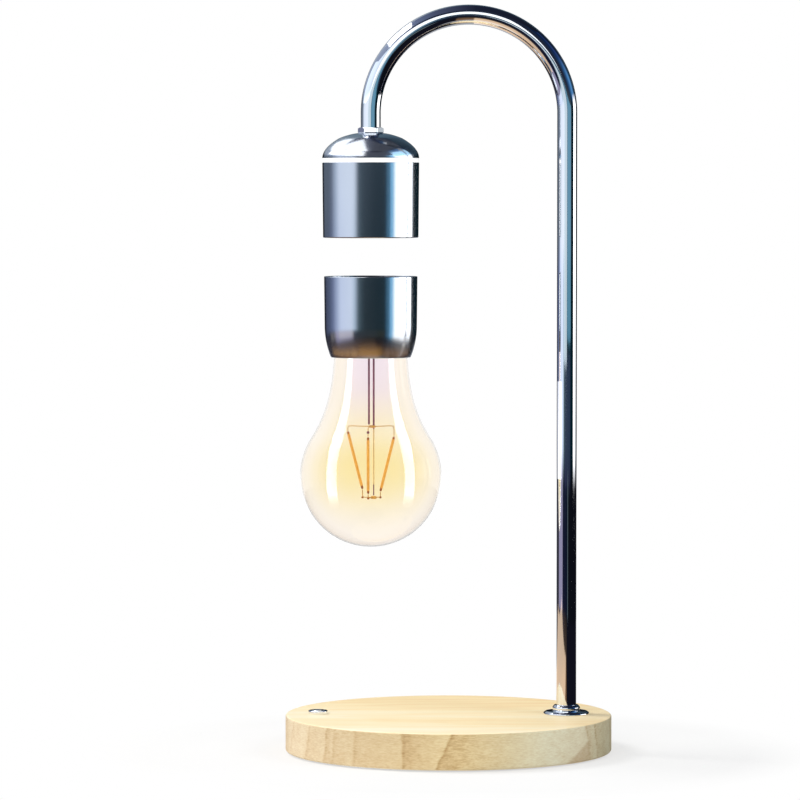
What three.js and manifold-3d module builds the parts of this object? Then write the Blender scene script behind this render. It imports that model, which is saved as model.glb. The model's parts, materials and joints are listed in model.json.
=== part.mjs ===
// Levitating bulb desk lamp. Millimetres, +Z up.
// The origin is on the table, under the middle of the round base. The arm stands at +X and the bulb at -X.
import * as THREE from "three";
import { mergeVertices } from "three/addons/utils/BufferGeometryUtils.js";
import Module from "manifold-3d";

const wasm = await Module();
wasm.setup();

// Whole lamp
const lampHeight = 375;
const armInset = 22.7;
const archSpan = 98.35;
const legAboveHead = 7.125;
const levitationGap = 19.3;

// Fits
const fitGap = 0.3;
const overrun = 1;

// A right angle
const quarter = Math.PI / 2;

// Numbers of sides and steps on round forms
const baseSides = 64;
const bodySides = 32;
const ringSides = 20;
const smallSides = 12;
const wireSides = 6;
const hexSides = 6;
const roundSteps = 3;
const domeSteps = 4;
const glassBallSteps = 10;
const glassShoulderSteps = 5;

// Wooden base
const baseRadius = 82;
const baseTopZ = 18.9;
const baseBottomZ = 0.8;
const baseTopRound = 1;
const baseBottomRound = 1;
const baseRoof = 6.4;
const rimWidth = 14;
const armPocketRadius = 13;
const buttonPocketRadius = 8.8;

// Bottom plate, its screws and the feet
const plateEdgeInset = 5.5;
const plateThickness = 1.6;
const plateInset = 1.2;
const plateScrewCount = 3;
const plateScrewInset = 9.7;
const plateScrewHeadRadius = 2.8;
const plateScrewHeadHeight = 1;
const plateScrewRadius = 1.2;
const plateScrewLength = 7;
const footCount = 4;
const footInset = 24;
const footRadius = 6;
const footChamfer = 0.6;

// Main circuit board
const boardLeftX = -21;
const boardRightX = 24;
const boardHalfWidth = 15;
const boardThickness = 1.2;
const boardPostRadius = 2.6;
const boardPostHeight = 2.2;
const boardScrewInset = 4;
const boardScrewHeadRadius = 1.9;
const boardScrewHeadHeight = 1.2;
const boardScrewRadius = 0.8;
const boardScrewLength = 2.6;
const inductorSide = 12;
const inductorHeight = 4.4;
const inductorChamfer = 2.4;
const inductorX = -6;
const connectorLength = 7;
const connectorWidth = 7;
const connectorHeight = 4;
const connectorInset = 1;

// Power inlet in the back of the rim
const inletZ = 8.4;
const inletBoreRadius = 2.75;
const inletNoseRadius = 3.9;
const inletNoseInset = 1.6;
const inletPocketGap = 0.8;
const inletHousingWidth = 9;
const inletHousingHeight = 7.4;
const inletHousingLength = 12;
const inletPinRadius = 1;
const inletPinRecess = 1.4;
const inletRingRadius = 5.2;
const inletRingLength = 2.1;
const inletRingInset = 0.6;

// Button
const buttonInset = 16.3;
const buttonTravel = 1;
const bezelRadius = 4.9;
const bezelHeight = 1.9;
const bezelRound = 0.55;
const sleeveOuterRadius = 4.1;
const sleeveInnerRadius = 3.5;
const capHeight = 3.4;
const capProud = 2.2;
const capCrown = 0.9;
const capStemRadius = 1.4;
const switchPostRadius = 3.6;
const switchPostHeight = 1.8;
const switchBoardSide = 11;
const switchBodySide = 6;
const switchBodyHeight = 3.4;
const plungerRadius = 1.7;
const plungerProud = 0.8;
const plungerLength = 2.9;
const springRadius = 2.3;
const springWireRadius = 0.25;
const springTurns = 6;
const springStepsPerTurn = 8;
const springSides = 5;

// Arm tube, its foot and its nuts
const tubeRadius = 5;
const tubeWall = 1;
const tubeSteps = 18;
const flangeRadius = 11.6;
const flangeEdgeHeight = 1;
const flangeHeight = 2;
const flangeShoulder = 0.4;
const collarRadius = 7;
const collarEdgeHeight = 1.5;
const collarHeight = 2.8;
const collarTopRadius = 5.9;
const washerRadius = 11;
const washerThickness = 1.2;
const footNutRadius = 9.2;
const footNutHeight = 4;
const threadBelowNut = 0.3;

// Cable inside the tube
const cableRadius = 1.3;
const cableBend = 5;
const cableStartRise = 2.2;
const cableStraight = 4;
const cableRunZ = 5.3;
const cableArchSteps = 14;

// Head
const headBodyHeight = 37.65;
const headTopRadius = 24.26;
const headTaper = 0.36;
const shellWall = 1.2;
const shellEdgeRound = 0.8;
const lipThickness = 1.3;
const lipWidth = 7.7;
const lightRingHeight = 2.1;
const lightRingWidth = 8.7;
const domeHeight = 12.55;
const domeWall = 1.5;
const domeCreaseInset = 8.56;
const domeCreaseHeight = 10.1;
const domeFlatRadius = 7;
const domeShoulderShare = 0.64;
const domeCrownShare = 0.95;
const domeBossRadius = 2.3;
const domeBossDepth = 7;
const headNutRadius = 6.54;
const headNutHeight = 2.9;
const headNutChamfer = 0.6;
const innerNutRadius = 7.4;
const innerNutHeight = 3;
const tubeBelowInnerNut = 0.3;

// Head insides
const headScrewCount = 2;
const headScrewInset = 5;
const headScrewRadius = 1.2;
const headScrewHeadRadius = 1.9;
const headScrewHeadHeight = 1.3;
const headScrewLength = 9.5;
const bracketGap = 1;
const bracketThickness = 1.5;
const headBoardGap = 1.5;
const coverInset = 0.3;
const coverThickness = 1.6;
const coilGap = 1.7;
const coilWidth = 9;
const coilThickness = 1.8;
const ferriteWidth = 13;
const ferriteThickness = 1;
const bobbinStep = 4;
const bobbinFlange = 1.2;
const bobbinWall = 1.1;
const windingInset = 1;
const coreRadius = 5;
const sensorLength = 4.2;
const sensorWidth = 3.2;
const sensorHeight = 1.6;

// Floating cup
const cupHeight = 40.6;
const cupTopRadius = 23.4;
const cupBendInset = 0.3;
const cupBendHeight = 10.5;
const cupBottomInset = 3.33;
const cupWall = 1.3;
const cupBendReach = 3;
const cupEdgeRound = 0.5;
const lidInset = 0.4;
const lidThickness = 1.6;
const receiverThickness = 1.6;
const receiverGap = 1.3;
const receiverWidth = 9.4;
const magnetRadius = 10.1;
const magnetHeight = 9;
const holderGap = 0.7;
const holderFloor = 1.5;
const holderCollarWall = 1.5;
const holderPostRadius = 2.2;
const holderPostCount = 2;
const holderPostCircle = 14;
const holderPostLength = 9.5;
const receiverBoardInset = 2.6;

// Glass bulb
const glassRadius = 35.55;
const glassCentreDrop = 59.6;
const glassWall = 0.8;
const neckInset = 1.67;
const neckTaper = 0.3;
const neckInsideCup = 10;
const shoulderAngle = THREE.MathUtils.degToRad(33);
const shoulderReach = 14;
const neckReach = 16;
const neckFlare = 1;
const stemRadius = 3.4;
const stemBottom = 1.5;
const stemFlareDepth = 3.6;
const stemFlareThickness = 1.1;

// Wires and filaments inside the glass, measured from the lower edge of the cup
const leadRadius = 0.5;
const topLeadX = -0.95;
const bottomLeadX = 1.45;
const hangerDrop = 34.3;
const hangerHubX = 0.6;
const hangerHubRadius = 2;
const hangerHubHeight = 1.2;
const hubDrop = 69.8;
const hubRadius = 1.6;
const hubHeight = 1.4;
const spokeRadius = 0.3;
const spokeStartShare = 0.08;
const spokeKneeShare = 0.93;
const spokeSteps = 6;
const leadSides = 8;
const filamentRadius = 0.72;
const filamentTipRadius = 0.4;
const filamentTipLength = 1.6;
const filamentTops = [[-11.65, 6.7, 37.7], [11.65, 6.7, 40.4], [-1.3, -13, 39.6]];
const filamentBottoms = [[-4.2, 2.6, 66.4], [4.8, 2.6, 67.6], [-1.3, -5, 68.3]];
const filamentNames = ["left", "right", "front"];

// Places that follow from the sizes above
const armX = baseRadius - armInset;
const floatX = armX - archSpan;
const buttonX = buttonInset - baseRadius;
const pocketRadius = baseRadius - rimWidth;
const plateRadius = baseRadius - plateEdgeInset;
const inletBackY = pocketRadius - inletPocketGap;
const inletNoseEndY = baseRadius - inletNoseInset;
const inletRingFaceY = baseRadius - inletRingInset;

// Radii inside the head and the cup that follow from the sizes above
const headBottomRadius = headTopRadius - headTaper;
const headScrewCircle = headTopRadius - headScrewInset;
const headBoardRadius = headScrewCircle - headScrewRadius - headBoardGap;
const bracketRadius = headTopRadius - shellWall - bracketGap;
const coilOuterRadius = headBottomRadius - shellWall - coilGap;
const bobbinRadius = coilOuterRadius - bobbinStep;
const bobbinHubRadius = coreRadius + fitGap + bobbinWall;
const cupBendRadius = cupTopRadius - cupBendInset;
const cupBottomRadius = cupTopRadius - cupBottomInset;
const holderRadius = cupTopRadius - cupWall - holderGap;
const receiverOuterRadius = cupTopRadius - cupWall - receiverGap;
const neckRadius = cupBottomRadius - neckInset;
const neckTopRadius = neckRadius - neckTaper;

// Heights that follow from the sizes above
const plateBottomZ = baseBottomZ + plateInset;
const plateTopZ = plateBottomZ + plateThickness;
const roofZ = baseTopZ - baseRoof;
const boardBottomZ = plateTopZ + boardPostHeight;
const boardTopZ = boardBottomZ + boardThickness;
const washerBottomZ = roofZ - washerThickness;
const footNutBottomZ = washerBottomZ - footNutHeight;
const tubeFootZ = footNutBottomZ - threadBelowNut;
const archRadius = archSpan / 2;
const archZ = lampHeight - tubeRadius - archRadius;
const lightRingBottom = headBodyHeight;
const domeBottom = lightRingBottom + lightRingHeight;
const domeTop = domeBottom + domeHeight;
const headBottomZ = archZ - legAboveHead - headNutHeight - domeTop;
const innerNutTop = domeTop - domeWall - fitGap;
const innerNutBottom = innerNutTop - innerNutHeight;
const tubeEndZ = headBottomZ + innerNutBottom - tubeBelowInnerNut;
const headBoardTop = domeBottom + boardThickness;
const cupBottomZ = headBottomZ - levitationGap - cupHeight;
const sleeveBottomZ = roofZ + fitGap;

// Materials
function material(color, roughness, metalness) {
  return new THREE.MeshStandardMaterial({ color, roughness, metalness });
}
const chrome = material(0xc9ced6, 0.08, 1);
const satinSteel = material(0x8b94a3, 0.32, 1);
const zincSteel = material(0x9a9da0, 0.4, 1);
const wood = material(0xe6cfa0, 0.65, 0);
const blackPlastic = material(0x1d1e20, 0.55, 0);
const whitePlastic = material(0xf4f4f2, 0.4, 0);
const rubber = material(0x26262a, 0.9, 0);
const circuitBoard = material(0x1f6b3a, 0.5, 0);
const copper = material(0xb8733a, 0.35, 1);
const ferrite = material(0x3a3a3d, 0.7, 0);
const cableSheath = material(0x2a2a2e, 0.7, 0);
const neodymium = material(0xb4b6ba, 0.25, 1);
const leadWire = material(0x7d5a5e, 0.4, 1);
const goldWire = material(0xc79a4a, 0.35, 1);
const glowing = material(0xf2a640, 0.5, 0);
const glass = new THREE.MeshStandardMaterial({
  color: 0xfff3dc, roughness: 0.03, metalness: 0, transparent: true, opacity: 0.25,
});

// Solids
function weld(geometry) {
  geometry.deleteAttribute("normal");
  geometry.deleteAttribute("uv");
  const welded = mergeVertices(geometry);
  const corners = [];
  for (let i = 0; i < welded.index.count; i += 3) {
    const [a, b, c] = [welded.index.getX(i), welded.index.getX(i + 1), welded.index.getX(i + 2)];
    if (a !== b && b !== c && c !== a) corners.push(a, b, c);
  }
  welded.setIndex(corners);
  return welded;
}

function solidOf(geometry) {
  const welded = weld(geometry);
  const mesh = new wasm.Mesh({
    numProp: 3,
    vertProperties: new Float32Array(welded.attributes.position.array),
    triVerts: new Uint32Array(welded.index.array),
  });
  return new wasm.Manifold(mesh);
}

function geometryOf(solid) {
  const mesh = solid.getMesh();
  const geometry = new THREE.BufferGeometry();
  geometry.setAttribute("position", new THREE.BufferAttribute(mesh.vertProperties, 3));
  geometry.setIndex(new THREE.BufferAttribute(mesh.triVerts, 1));
  return geometry;
}

function cut(body, ...tools) {
  return geometryOf(tools.reduce((solid, tool) => solid.subtract(solidOf(tool)), solidOf(body)));
}

function fuse(body, ...others) {
  return geometryOf(others.reduce((solid, other) => solid.add(solidOf(other)), solidOf(body)));
}

function revolve(profile, sides) {
  const points = profile.map(([radius, height]) => new THREE.Vector2(radius, height));
  return new THREE.LatheGeometry(points, sides).rotateX(quarter);
}

function disc(radius, bottom, top, sides) {
  return revolve([[0, bottom], [radius, bottom], [radius, top], [0, top]], sides);
}

function ring(inner, outer, bottom, top, sides) {
  const profile = [[inner, bottom], [outer, bottom], [outer, top], [inner, top], [inner, bottom]];
  return revolve(profile, sides);
}

function block(xs, ys, zs) {
  const sizes = [xs, ys, zs].map(([low, high]) => high - low);
  const middles = [xs, ys, zs].map(([low, high]) => (low + high) / 2);
  return new THREE.BoxGeometry(...sizes).translate(...middles);
}

function plate(side, bottom, top) {
  return block([-side / 2, side / 2], [-side / 2, side / 2], [bottom, top]);
}

function arcPoints(centreRadius, centreHeight, radius, from, to, steps) {
  return Array.from({ length: steps + 1 }, (_, i) => {
    const angle = from + ((to - from) * i) / steps;
    return [centreRadius + radius * Math.cos(angle), centreHeight + radius * Math.sin(angle)];
  });
}

function curvePoints(curve, steps) {
  return curve.getPoints(steps).map((point) => [point.x, point.y]);
}

function bend(start, control, end, steps) {
  const [a, b, c] = [start, control, end].map(([radius, height]) => new THREE.Vector2(radius, height));
  return curvePoints(new THREE.QuadraticBezierCurve(a, b, c), steps);
}

// Places on a circle round Z, the first one turned away from +X by a named angle
function placesOnCircle(count, radius, firstAngle) {
  return Array.from({ length: count }, (_, i) => {
    const angle = firstAngle + (2 * Math.PI * i) / count;
    return [radius * Math.cos(angle), radius * Math.sin(angle)];
  });
}

// A screw that points up, with its head from height zero down
function screw(headRadius, headHeight, radius, length) {
  const profile = [
    [0, -headHeight], [headRadius, -headHeight], [headRadius, 0], [radius, 0], [radius, length], [0, length],
  ];
  const slotWidth = headRadius / 2;
  const slot = block(
    [-headRadius - overrun, headRadius + overrun],
    [-slotWidth / 2, slotWidth / 2],
    [-headHeight - overrun, -headHeight / 2],
  );
  return cut(revolve(profile, smallSides), slot);
}

function hexNut(radius, boreRadius, bottom, top, chamfer) {
  const outline = [[0, bottom], [radius, bottom], [radius, top - chamfer], [radius - chamfer, top], [0, top]];
  const flats = revolve(outline, hexSides);
  return cut(flats.rotateZ(quarter), disc(boreRadius, bottom - overrun, top + overrun, smallSides));
}

// A route made of legs that join smoothly, each with its own number of steps
class Route extends THREE.Curve {
  constructor(legs) {
    super();
    this.legs = legs;
    this.steps = legs.reduce((sum, leg) => sum + leg.steps, 0);
  }

  getUtoTmapping(u) {
    return u;
  }

  getPoint(t, target = new THREE.Vector3()) {
    let left = t * this.steps;
    let leg = this.legs[0];
    for (leg of this.legs) {
      if (left <= leg.steps) break;
      left -= leg.steps;
    }
    return target.copy(leg.at(Math.min(left / leg.steps, 1)));
  }
}

function straightLeg(from, to) {
  return { steps: 1, at: (share) => new THREE.Vector3(...from).lerp(new THREE.Vector3(...to), share) };
}

// A leg that turns in the XZ plane about a centre
function turnLeg(centreX, centreZ, radius, from, to, steps) {
  const at = (share) => {
    const angle = from + (to - from) * share;
    return new THREE.Vector3(centreX + radius * Math.cos(angle), 0, centreZ + radius * Math.sin(angle));
  };
  return { steps, at };
}

function sweep(route, section, steps = route.steps) {
  return new THREE.ExtrudeGeometry(section, { steps, extrudePath: route, bevelEnabled: false });
}

function roundSection(radius, sides) {
  const points = placesOnCircle(sides, radius, 0).map(([x, y]) => new THREE.Vector2(x, y));
  return new THREE.Shape(points);
}

function piece(name, geometry, finish, x = 0, y = 0, z = 0) {
  const welded = weld(geometry);
  welded.computeVertexNormals();
  const mesh = new THREE.Mesh(welded, finish);
  mesh.name = name;
  mesh.position.set(x, y, z);
  return mesh;
}

// Base
const plateScrewPlaces = placesOnCircle(plateScrewCount, baseRadius - plateScrewInset, Math.PI / 6);
const footPlaces = placesOnCircle(footCount, baseRadius - footInset, Math.PI / 4);
const boardScrewPlaces = [
  [boardLeftX + boardScrewInset, -boardHalfWidth + boardScrewInset],
  [boardRightX - boardScrewInset, boardHalfWidth - boardScrewInset],
];
const connectorRightX = boardRightX - connectorInset;

function holes(places, radius, bottom, top, sides = smallSides) {
  return places.map(([x, y]) => disc(radius, bottom, top, sides).translate(x, y, 0));
}

// Drills clearance holes for screws or wires right through a piece
function drilled(body, places, radius, bottom, top) {
  return cut(body, ...holes(places, radius + fitGap, bottom - overrun, top + overrun));
}

function alongY(radius, fromY, toY, sides = smallSides) {
  const rod = new THREE.CylinderGeometry(radius, radius, toY - fromY, sides);
  return rod.translate(0, (fromY + toY) / 2, inletZ);
}

function woodBase() {
  const lowCentre = [baseRadius - baseBottomRound, baseBottomZ + baseBottomRound];
  const highCentre = [baseRadius - baseTopRound, baseTopZ - baseTopRound];
  const profile = [
    [0, baseBottomZ],
    ...arcPoints(...lowCentre, baseBottomRound, -quarter, 0, roundSteps),
    ...arcPoints(...highCentre, baseTopRound, 0, quarter, roundSteps),
    [0, baseTopZ],
  ];
  const below = baseBottomZ - overrun;
  const inletRingBackY = inletRingFaceY - inletRingLength;
  return cut(
    revolve(profile, baseSides),
    disc(plateRadius + fitGap, below, plateTopZ + fitGap, baseSides),
    disc(pocketRadius, below, roofZ, baseSides),
    disc(armPocketRadius, below, roofZ, ringSides).translate(armX, 0, 0),
    disc(buttonPocketRadius, below, roofZ, ringSides).translate(buttonX, 0, 0),
    disc(tubeRadius + fitGap, below, baseTopZ + overrun, smallSides).translate(armX, 0, 0),
    disc(sleeveOuterRadius + fitGap, below, baseTopZ + overrun, smallSides).translate(buttonX, 0, 0),
    alongY(inletNoseRadius + fitGap, 0, baseRadius + overrun),
    alongY(inletRingRadius + fitGap, inletRingBackY - fitGap, baseRadius + overrun, ringSides),
    ...holes(plateScrewPlaces, plateScrewRadius + fitGap, below, plateBottomZ + plateScrewLength + fitGap),
  );
}

function basePlate() {
  const post = (radius, height) => disc(radius, plateBottomZ, plateTopZ + height, smallSides);
  const posts = boardScrewPlaces.map(([x, y]) => post(boardPostRadius, boardPostHeight).translate(x, y, 0));
  const switchPost = post(switchPostRadius, switchPostHeight).translate(buttonX, 0, 0);
  const solid = fuse(disc(plateRadius, plateBottomZ, plateTopZ, baseSides), ...posts, switchPost);
  const pilotBottom = boardBottomZ + boardThickness - boardScrewLength - fitGap;
  return cut(
    solid,
    ...holes(plateScrewPlaces, plateScrewRadius + fitGap, plateBottomZ - overrun, plateTopZ + overrun),
    ...holes(boardScrewPlaces, boardScrewRadius + fitGap, pilotBottom, boardBottomZ + overrun),
  );
}

function foot() {
  const profile = [
    [0, 0], [footRadius - footChamfer, 0], [footRadius, footChamfer],
    [footRadius, plateBottomZ], [0, plateBottomZ],
  ];
  return revolve(profile, smallSides);
}

function mainBoard() {
  const ys = [-boardHalfWidth, boardHalfWidth];
  const sheet = block([boardLeftX, boardRightX], ys, [boardBottomZ, boardTopZ]);
  return drilled(sheet, boardScrewPlaces, boardScrewRadius, boardBottomZ, boardTopZ);
}

function powerInductor() {
  const half = inductorSide / 2;
  const corner = half - inductorChamfer;
  const outline = new THREE.Shape([
    [half, -corner], [half, corner], [corner, half], [-corner, half],
    [-half, corner], [-half, -corner], [-corner, -half], [corner, -half],
  ].map(([x, y]) => new THREE.Vector2(x, y)));
  const body = new THREE.ExtrudeGeometry(outline, { depth: inductorHeight, bevelEnabled: false });
  return body.translate(inductorX, 0, boardTopZ);
}

function cableConnector() {
  return block(
    [connectorRightX - connectorLength, connectorRightX],
    [-connectorWidth / 2, connectorWidth / 2],
    [boardTopZ, boardTopZ + connectorHeight],
  );
}

function inletHousing() {
  const housing = block(
    [-inletHousingWidth / 2, inletHousingWidth / 2],
    [inletBackY - inletHousingLength, inletBackY],
    [inletZ - inletHousingHeight / 2, inletZ + inletHousingHeight / 2],
  );
  const nose = alongY(inletNoseRadius, inletBackY - overrun, inletNoseEndY);
  return cut(fuse(housing, nose), alongY(inletBoreRadius, inletBackY, inletNoseEndY + overrun));
}

function inletPin() {
  return alongY(inletPinRadius, inletBackY, inletNoseEndY - inletPinRecess);
}

function inletRing() {
  const back = inletRingFaceY - inletRingLength;
  const solid = alongY(inletRingRadius, back, inletRingFaceY, ringSides);
  return cut(solid, alongY(inletNoseRadius + fitGap, back - overrun, inletRingFaceY + overrun));
}

const base = new THREE.Group();
base.add(piece("wood_base", woodBase(), wood));
base.add(piece("base_plate", basePlate(), blackPlastic));
plateScrewPlaces.forEach(([x, y], i) => {
  const geometry = screw(plateScrewHeadRadius, plateScrewHeadHeight, plateScrewRadius, plateScrewLength);
  base.add(piece(`base_screw_${i + 1}`, geometry, zincSteel, x, y, plateBottomZ));
});
footPlaces.forEach(([x, y], i) => base.add(piece(`foot_${i + 1}`, foot(), rubber, x, y)));
base.add(piece("main_board", mainBoard(), circuitBoard));
boardScrewPlaces.forEach(([x, y], i) => {
  const geometry = screw(boardScrewHeadRadius, boardScrewHeadHeight, boardScrewRadius, boardScrewLength);
  base.add(piece(`board_screw_${i + 1}`, geometry.rotateX(Math.PI), zincSteel, x, y, boardTopZ));
});
base.add(piece("power_inductor", powerInductor(), ferrite));
base.add(piece("cable_connector", cableConnector(), whitePlastic));
base.add(piece("inlet_housing", inletHousing(), blackPlastic));
base.add(piece("inlet_pin", inletPin(), zincSteel));
base.add(piece("inlet_ring", inletRing(), chrome));

// Button
const switchBoardBottomZ = plateTopZ + switchPostHeight;
const switchBodyBottomZ = switchBoardBottomZ + boardThickness;
const switchBodyTopZ = switchBodyBottomZ + switchBodyHeight;
const plungerTopZ = switchBodyTopZ + plungerProud;
const capTopZ = baseTopZ + capProud;
const capBottomZ = capTopZ - capHeight;

function buttonBezel() {
  const roundRadius = bezelRadius - bezelRound;
  const bezelTopZ = baseTopZ + bezelHeight;
  return revolve([
    [sleeveInnerRadius, sleeveBottomZ], [sleeveOuterRadius, sleeveBottomZ], [sleeveOuterRadius, baseTopZ],
    ...arcPoints(roundRadius, baseTopZ + bezelRound, bezelRound, -quarter, 0, roundSteps),
    ...arcPoints(roundRadius, bezelTopZ - bezelRound, bezelRound, 0, quarter, roundSteps),
    [sleeveInnerRadius, bezelTopZ], [sleeveInnerRadius, sleeveBottomZ],
  ], ringSides);
}

function buttonCap() {
  const radius = sleeveInnerRadius - fitGap;
  const crown = bend([radius, capTopZ - capCrown], [radius, capTopZ], [0, capTopZ], roundSteps + 1);
  return revolve([
    [0, plungerTopZ], [capStemRadius, plungerTopZ], [capStemRadius, capBottomZ], [radius, capBottomZ],
    ...crown,
  ], smallSides);
}

function switchBody() {
  const body = plate(switchBodySide, switchBodyBottomZ, switchBodyTopZ);
  return drilled(body, [[0, 0]], plungerRadius, switchBodyBottomZ, switchBodyTopZ);
}

// A helix of round wire that fills the room between the switch and the cap
function buttonSpring() {
  const bottom = switchBodyTopZ + fitGap + springWireRadius;
  const rise = capBottomZ - fitGap - springWireRadius - bottom;
  const helix = new THREE.Curve();
  helix.getPoint = (t) => {
    const angle = 2 * Math.PI * springTurns * t;
    const place = new THREE.Vector3(Math.cos(angle), Math.sin(angle), 0).multiplyScalar(springRadius);
    return place.setZ(bottom + rise * t);
  };
  return sweep(helix, roundSection(springWireRadius, springSides), springTurns * springStepsPerTurn);
}

function switchPlunger() {
  return disc(plungerRadius, plungerTopZ - plungerLength, plungerTopZ, smallSides);
}

function switchBoard() {
  return plate(switchBoardSide, switchBoardBottomZ, switchBodyBottomZ);
}

const button = new THREE.Group();
button.position.x = buttonX;
button.add(piece("button_bezel", buttonBezel(), chrome));
button.add(piece("button_cap", buttonCap(), chrome));
button.add(piece("button_spring", buttonSpring(), zincSteel));
button.add(piece("switch_plunger", switchPlunger(), whitePlastic));
button.add(piece("switch_body", switchBody(), blackPlastic));
button.add(piece("switch_board", switchBoard(), circuitBoard));
base.add(button);

// Arm
const archX = (armX + floatX) / 2;
const nutBore = tubeRadius + fitGap;

function armTube() {
  const section = roundSection(tubeRadius, smallSides);
  section.holes.push(new THREE.Path(roundSection(tubeRadius - tubeWall, smallSides).getPoints()));
  const route = new Route([
    straightLeg([armX, 0, tubeFootZ], [armX, 0, archZ]),
    turnLeg(archX, archZ, archRadius, 0, Math.PI, tubeSteps),
    straightLeg([floatX, 0, archZ], [floatX, 0, tubeEndZ]),
  ]);
  return sweep(route, section);
}

function baseFlange() {
  const top = baseTopZ + flangeHeight;
  return revolve([
    [nutBore, baseTopZ], [flangeRadius, baseTopZ], [flangeRadius, baseTopZ + flangeEdgeHeight],
    [collarRadius + flangeShoulder, top], [nutBore, top], [nutBore, baseTopZ],
  ], ringSides);
}

function flangeCollar() {
  const bottom = baseTopZ + flangeHeight;
  return revolve([
    [nutBore, bottom], [collarRadius, bottom], [collarRadius, bottom + collarEdgeHeight],
    [collarTopRadius, bottom + collarHeight], [nutBore, bottom + collarHeight], [nutBore, bottom],
  ], ringSides);
}

// The cable leaves the connector, drops in an S bend, runs along the plate and turns up into the tube
function lampCable() {
  const startX = connectorRightX + fitGap;
  const startZ = boardTopZ + cableStartRise;
  const bendAngle = Math.acos(1 - (startZ - cableRunZ) / (2 * cableBend));
  const firstBendX = startX + cableStraight;
  const secondBendX = firstBendX + 2 * cableBend * Math.sin(bendAngle);
  const riseX = armX - cableBend;
  const riseZ = cableRunZ + cableBend;
  const down = -quarter;
  return sweep(new Route([
    straightLeg([startX, 0, startZ], [firstBendX, 0, startZ]),
    turnLeg(firstBendX, startZ - cableBend, cableBend, quarter, quarter - bendAngle, roundSteps),
    turnLeg(secondBendX, riseZ, cableBend, down - bendAngle, down, roundSteps),
    straightLeg([secondBendX, 0, cableRunZ], [riseX, 0, cableRunZ]),
    turnLeg(riseX, riseZ, cableBend, down, 0, roundSteps + 1),
    straightLeg([armX, 0, riseZ], [armX, 0, archZ]),
    turnLeg(archX, archZ, archRadius, 0, Math.PI, cableArchSteps),
    straightLeg([floatX, 0, archZ], [floatX, 0, headBottomZ + headBoardTop + fitGap]),
  ]), roundSection(cableRadius, leadSides));
}

const arm = new THREE.Group();
arm.add(piece("arm_tube", armTube(), chrome));
arm.add(piece("base_flange", baseFlange(), chrome, armX));
arm.add(piece("flange_collar", flangeCollar(), chrome, armX));
arm.add(piece("tube_washer", ring(nutBore, washerRadius, washerBottomZ, roofZ, ringSides), zincSteel, armX));
arm.add(piece("tube_nut", hexNut(footNutRadius, nutBore, footNutBottomZ, washerBottomZ, 0), zincSteel, armX));
arm.add(piece("lamp_cable", lampCable(), cableSheath));

// Head, with its heights measured from its lower edge
const headScrewPlaces = placesOnCircle(headScrewCount, headScrewCircle, 0);
const bracketTop = headBodyHeight - lipThickness;
const bracketBottom = bracketTop - bracketThickness;
const coverTop = coverInset + coverThickness;
const transmitterTop = coverTop + coilThickness;
const bobbinBottom = transmitterTop + ferriteThickness;

// The outline of the dome from its lower edge to its flat, drawn in by a wall's thickness for the inside
function domeOutline(inset) {
  const widthScale = (headTopRadius - inset) / headTopRadius;
  const heightScale = (domeHeight - inset) / domeHeight;
  const edge = [headTopRadius, 0];
  const crease = [headTopRadius - domeCreaseInset, domeCreaseHeight];
  const flat = [domeFlatRadius, domeHeight];
  const shoulder = bend(edge, [headTopRadius, domeCreaseHeight * domeShoulderShare], crease, domeSteps);
  const crownMiddle = [(crease[0] + domeFlatRadius) / 2, domeHeight * domeCrownShare];
  const crown = bend(crease, crownMiddle, flat, 2).slice(1);
  const outline = [...shoulder, ...crown];
  return outline.map(([radius, height]) => [radius * widthScale, domeBottom + height * heightScale]);
}

function domeCap() {
  const boreWall = [[nutBore, domeTop], [nutBore, domeTop - domeWall]];
  const outer = domeOutline(0);
  const inner = domeOutline(domeWall).reverse();
  const shell = solidOf(revolve([...outer, ...boreWall, ...inner, outer[0]], bodySides));
  const full = solidOf(revolve([[0, domeBottom], ...outer, [0, domeTop]], bodySides));
  const bossTop = domeBottom + domeBossDepth;
  const pegs = holes(headScrewPlaces, domeBossRadius, domeBottom, bossTop);
  const bosses = pegs.map((peg) => solidOf(peg).intersect(full));
  const screwReach = headScrewLength - bracketThickness - lipThickness - lightRingHeight;
  const pilotTop = domeBottom + screwReach + fitGap;
  const pilots = holes(headScrewPlaces, headScrewRadius + fitGap, domeBottom - overrun, pilotTop);
  const joined = bosses.reduce((solid, boss) => solid.add(boss), shell);
  return geometryOf(pilots.reduce((solid, pilot) => solid.subtract(solidOf(pilot)), joined));
}

function lightRing() {
  const inner = headTopRadius - lightRingWidth;
  const solid = ring(inner, headTopRadius, lightRingBottom, domeBottom, bodySides);
  return drilled(solid, headScrewPlaces, headScrewRadius, lightRingBottom, domeBottom);
}

function headShell() {
  const edgeCentre = [headBottomRadius - shellEdgeRound, shellEdgeRound];
  const lipInner = headTopRadius - lipWidth;
  const profile = [
    [headBottomRadius - shellWall, 0],
    ...arcPoints(...edgeCentre, shellEdgeRound, -quarter, 0, roundSteps),
    [headTopRadius, headBodyHeight], [lipInner, headBodyHeight], [lipInner, bracketTop],
    [headTopRadius - shellWall, bracketTop], [headBottomRadius - shellWall, 0],
  ];
  return drilled(revolve(profile, bodySides), headScrewPlaces, headScrewRadius, bracketTop, headBodyHeight);
}

function coilBracket() {
  const solid = disc(bracketRadius, bracketBottom, bracketTop, ringSides);
  return drilled(solid, headScrewPlaces, headScrewRadius, bracketBottom, bracketTop);
}

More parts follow.
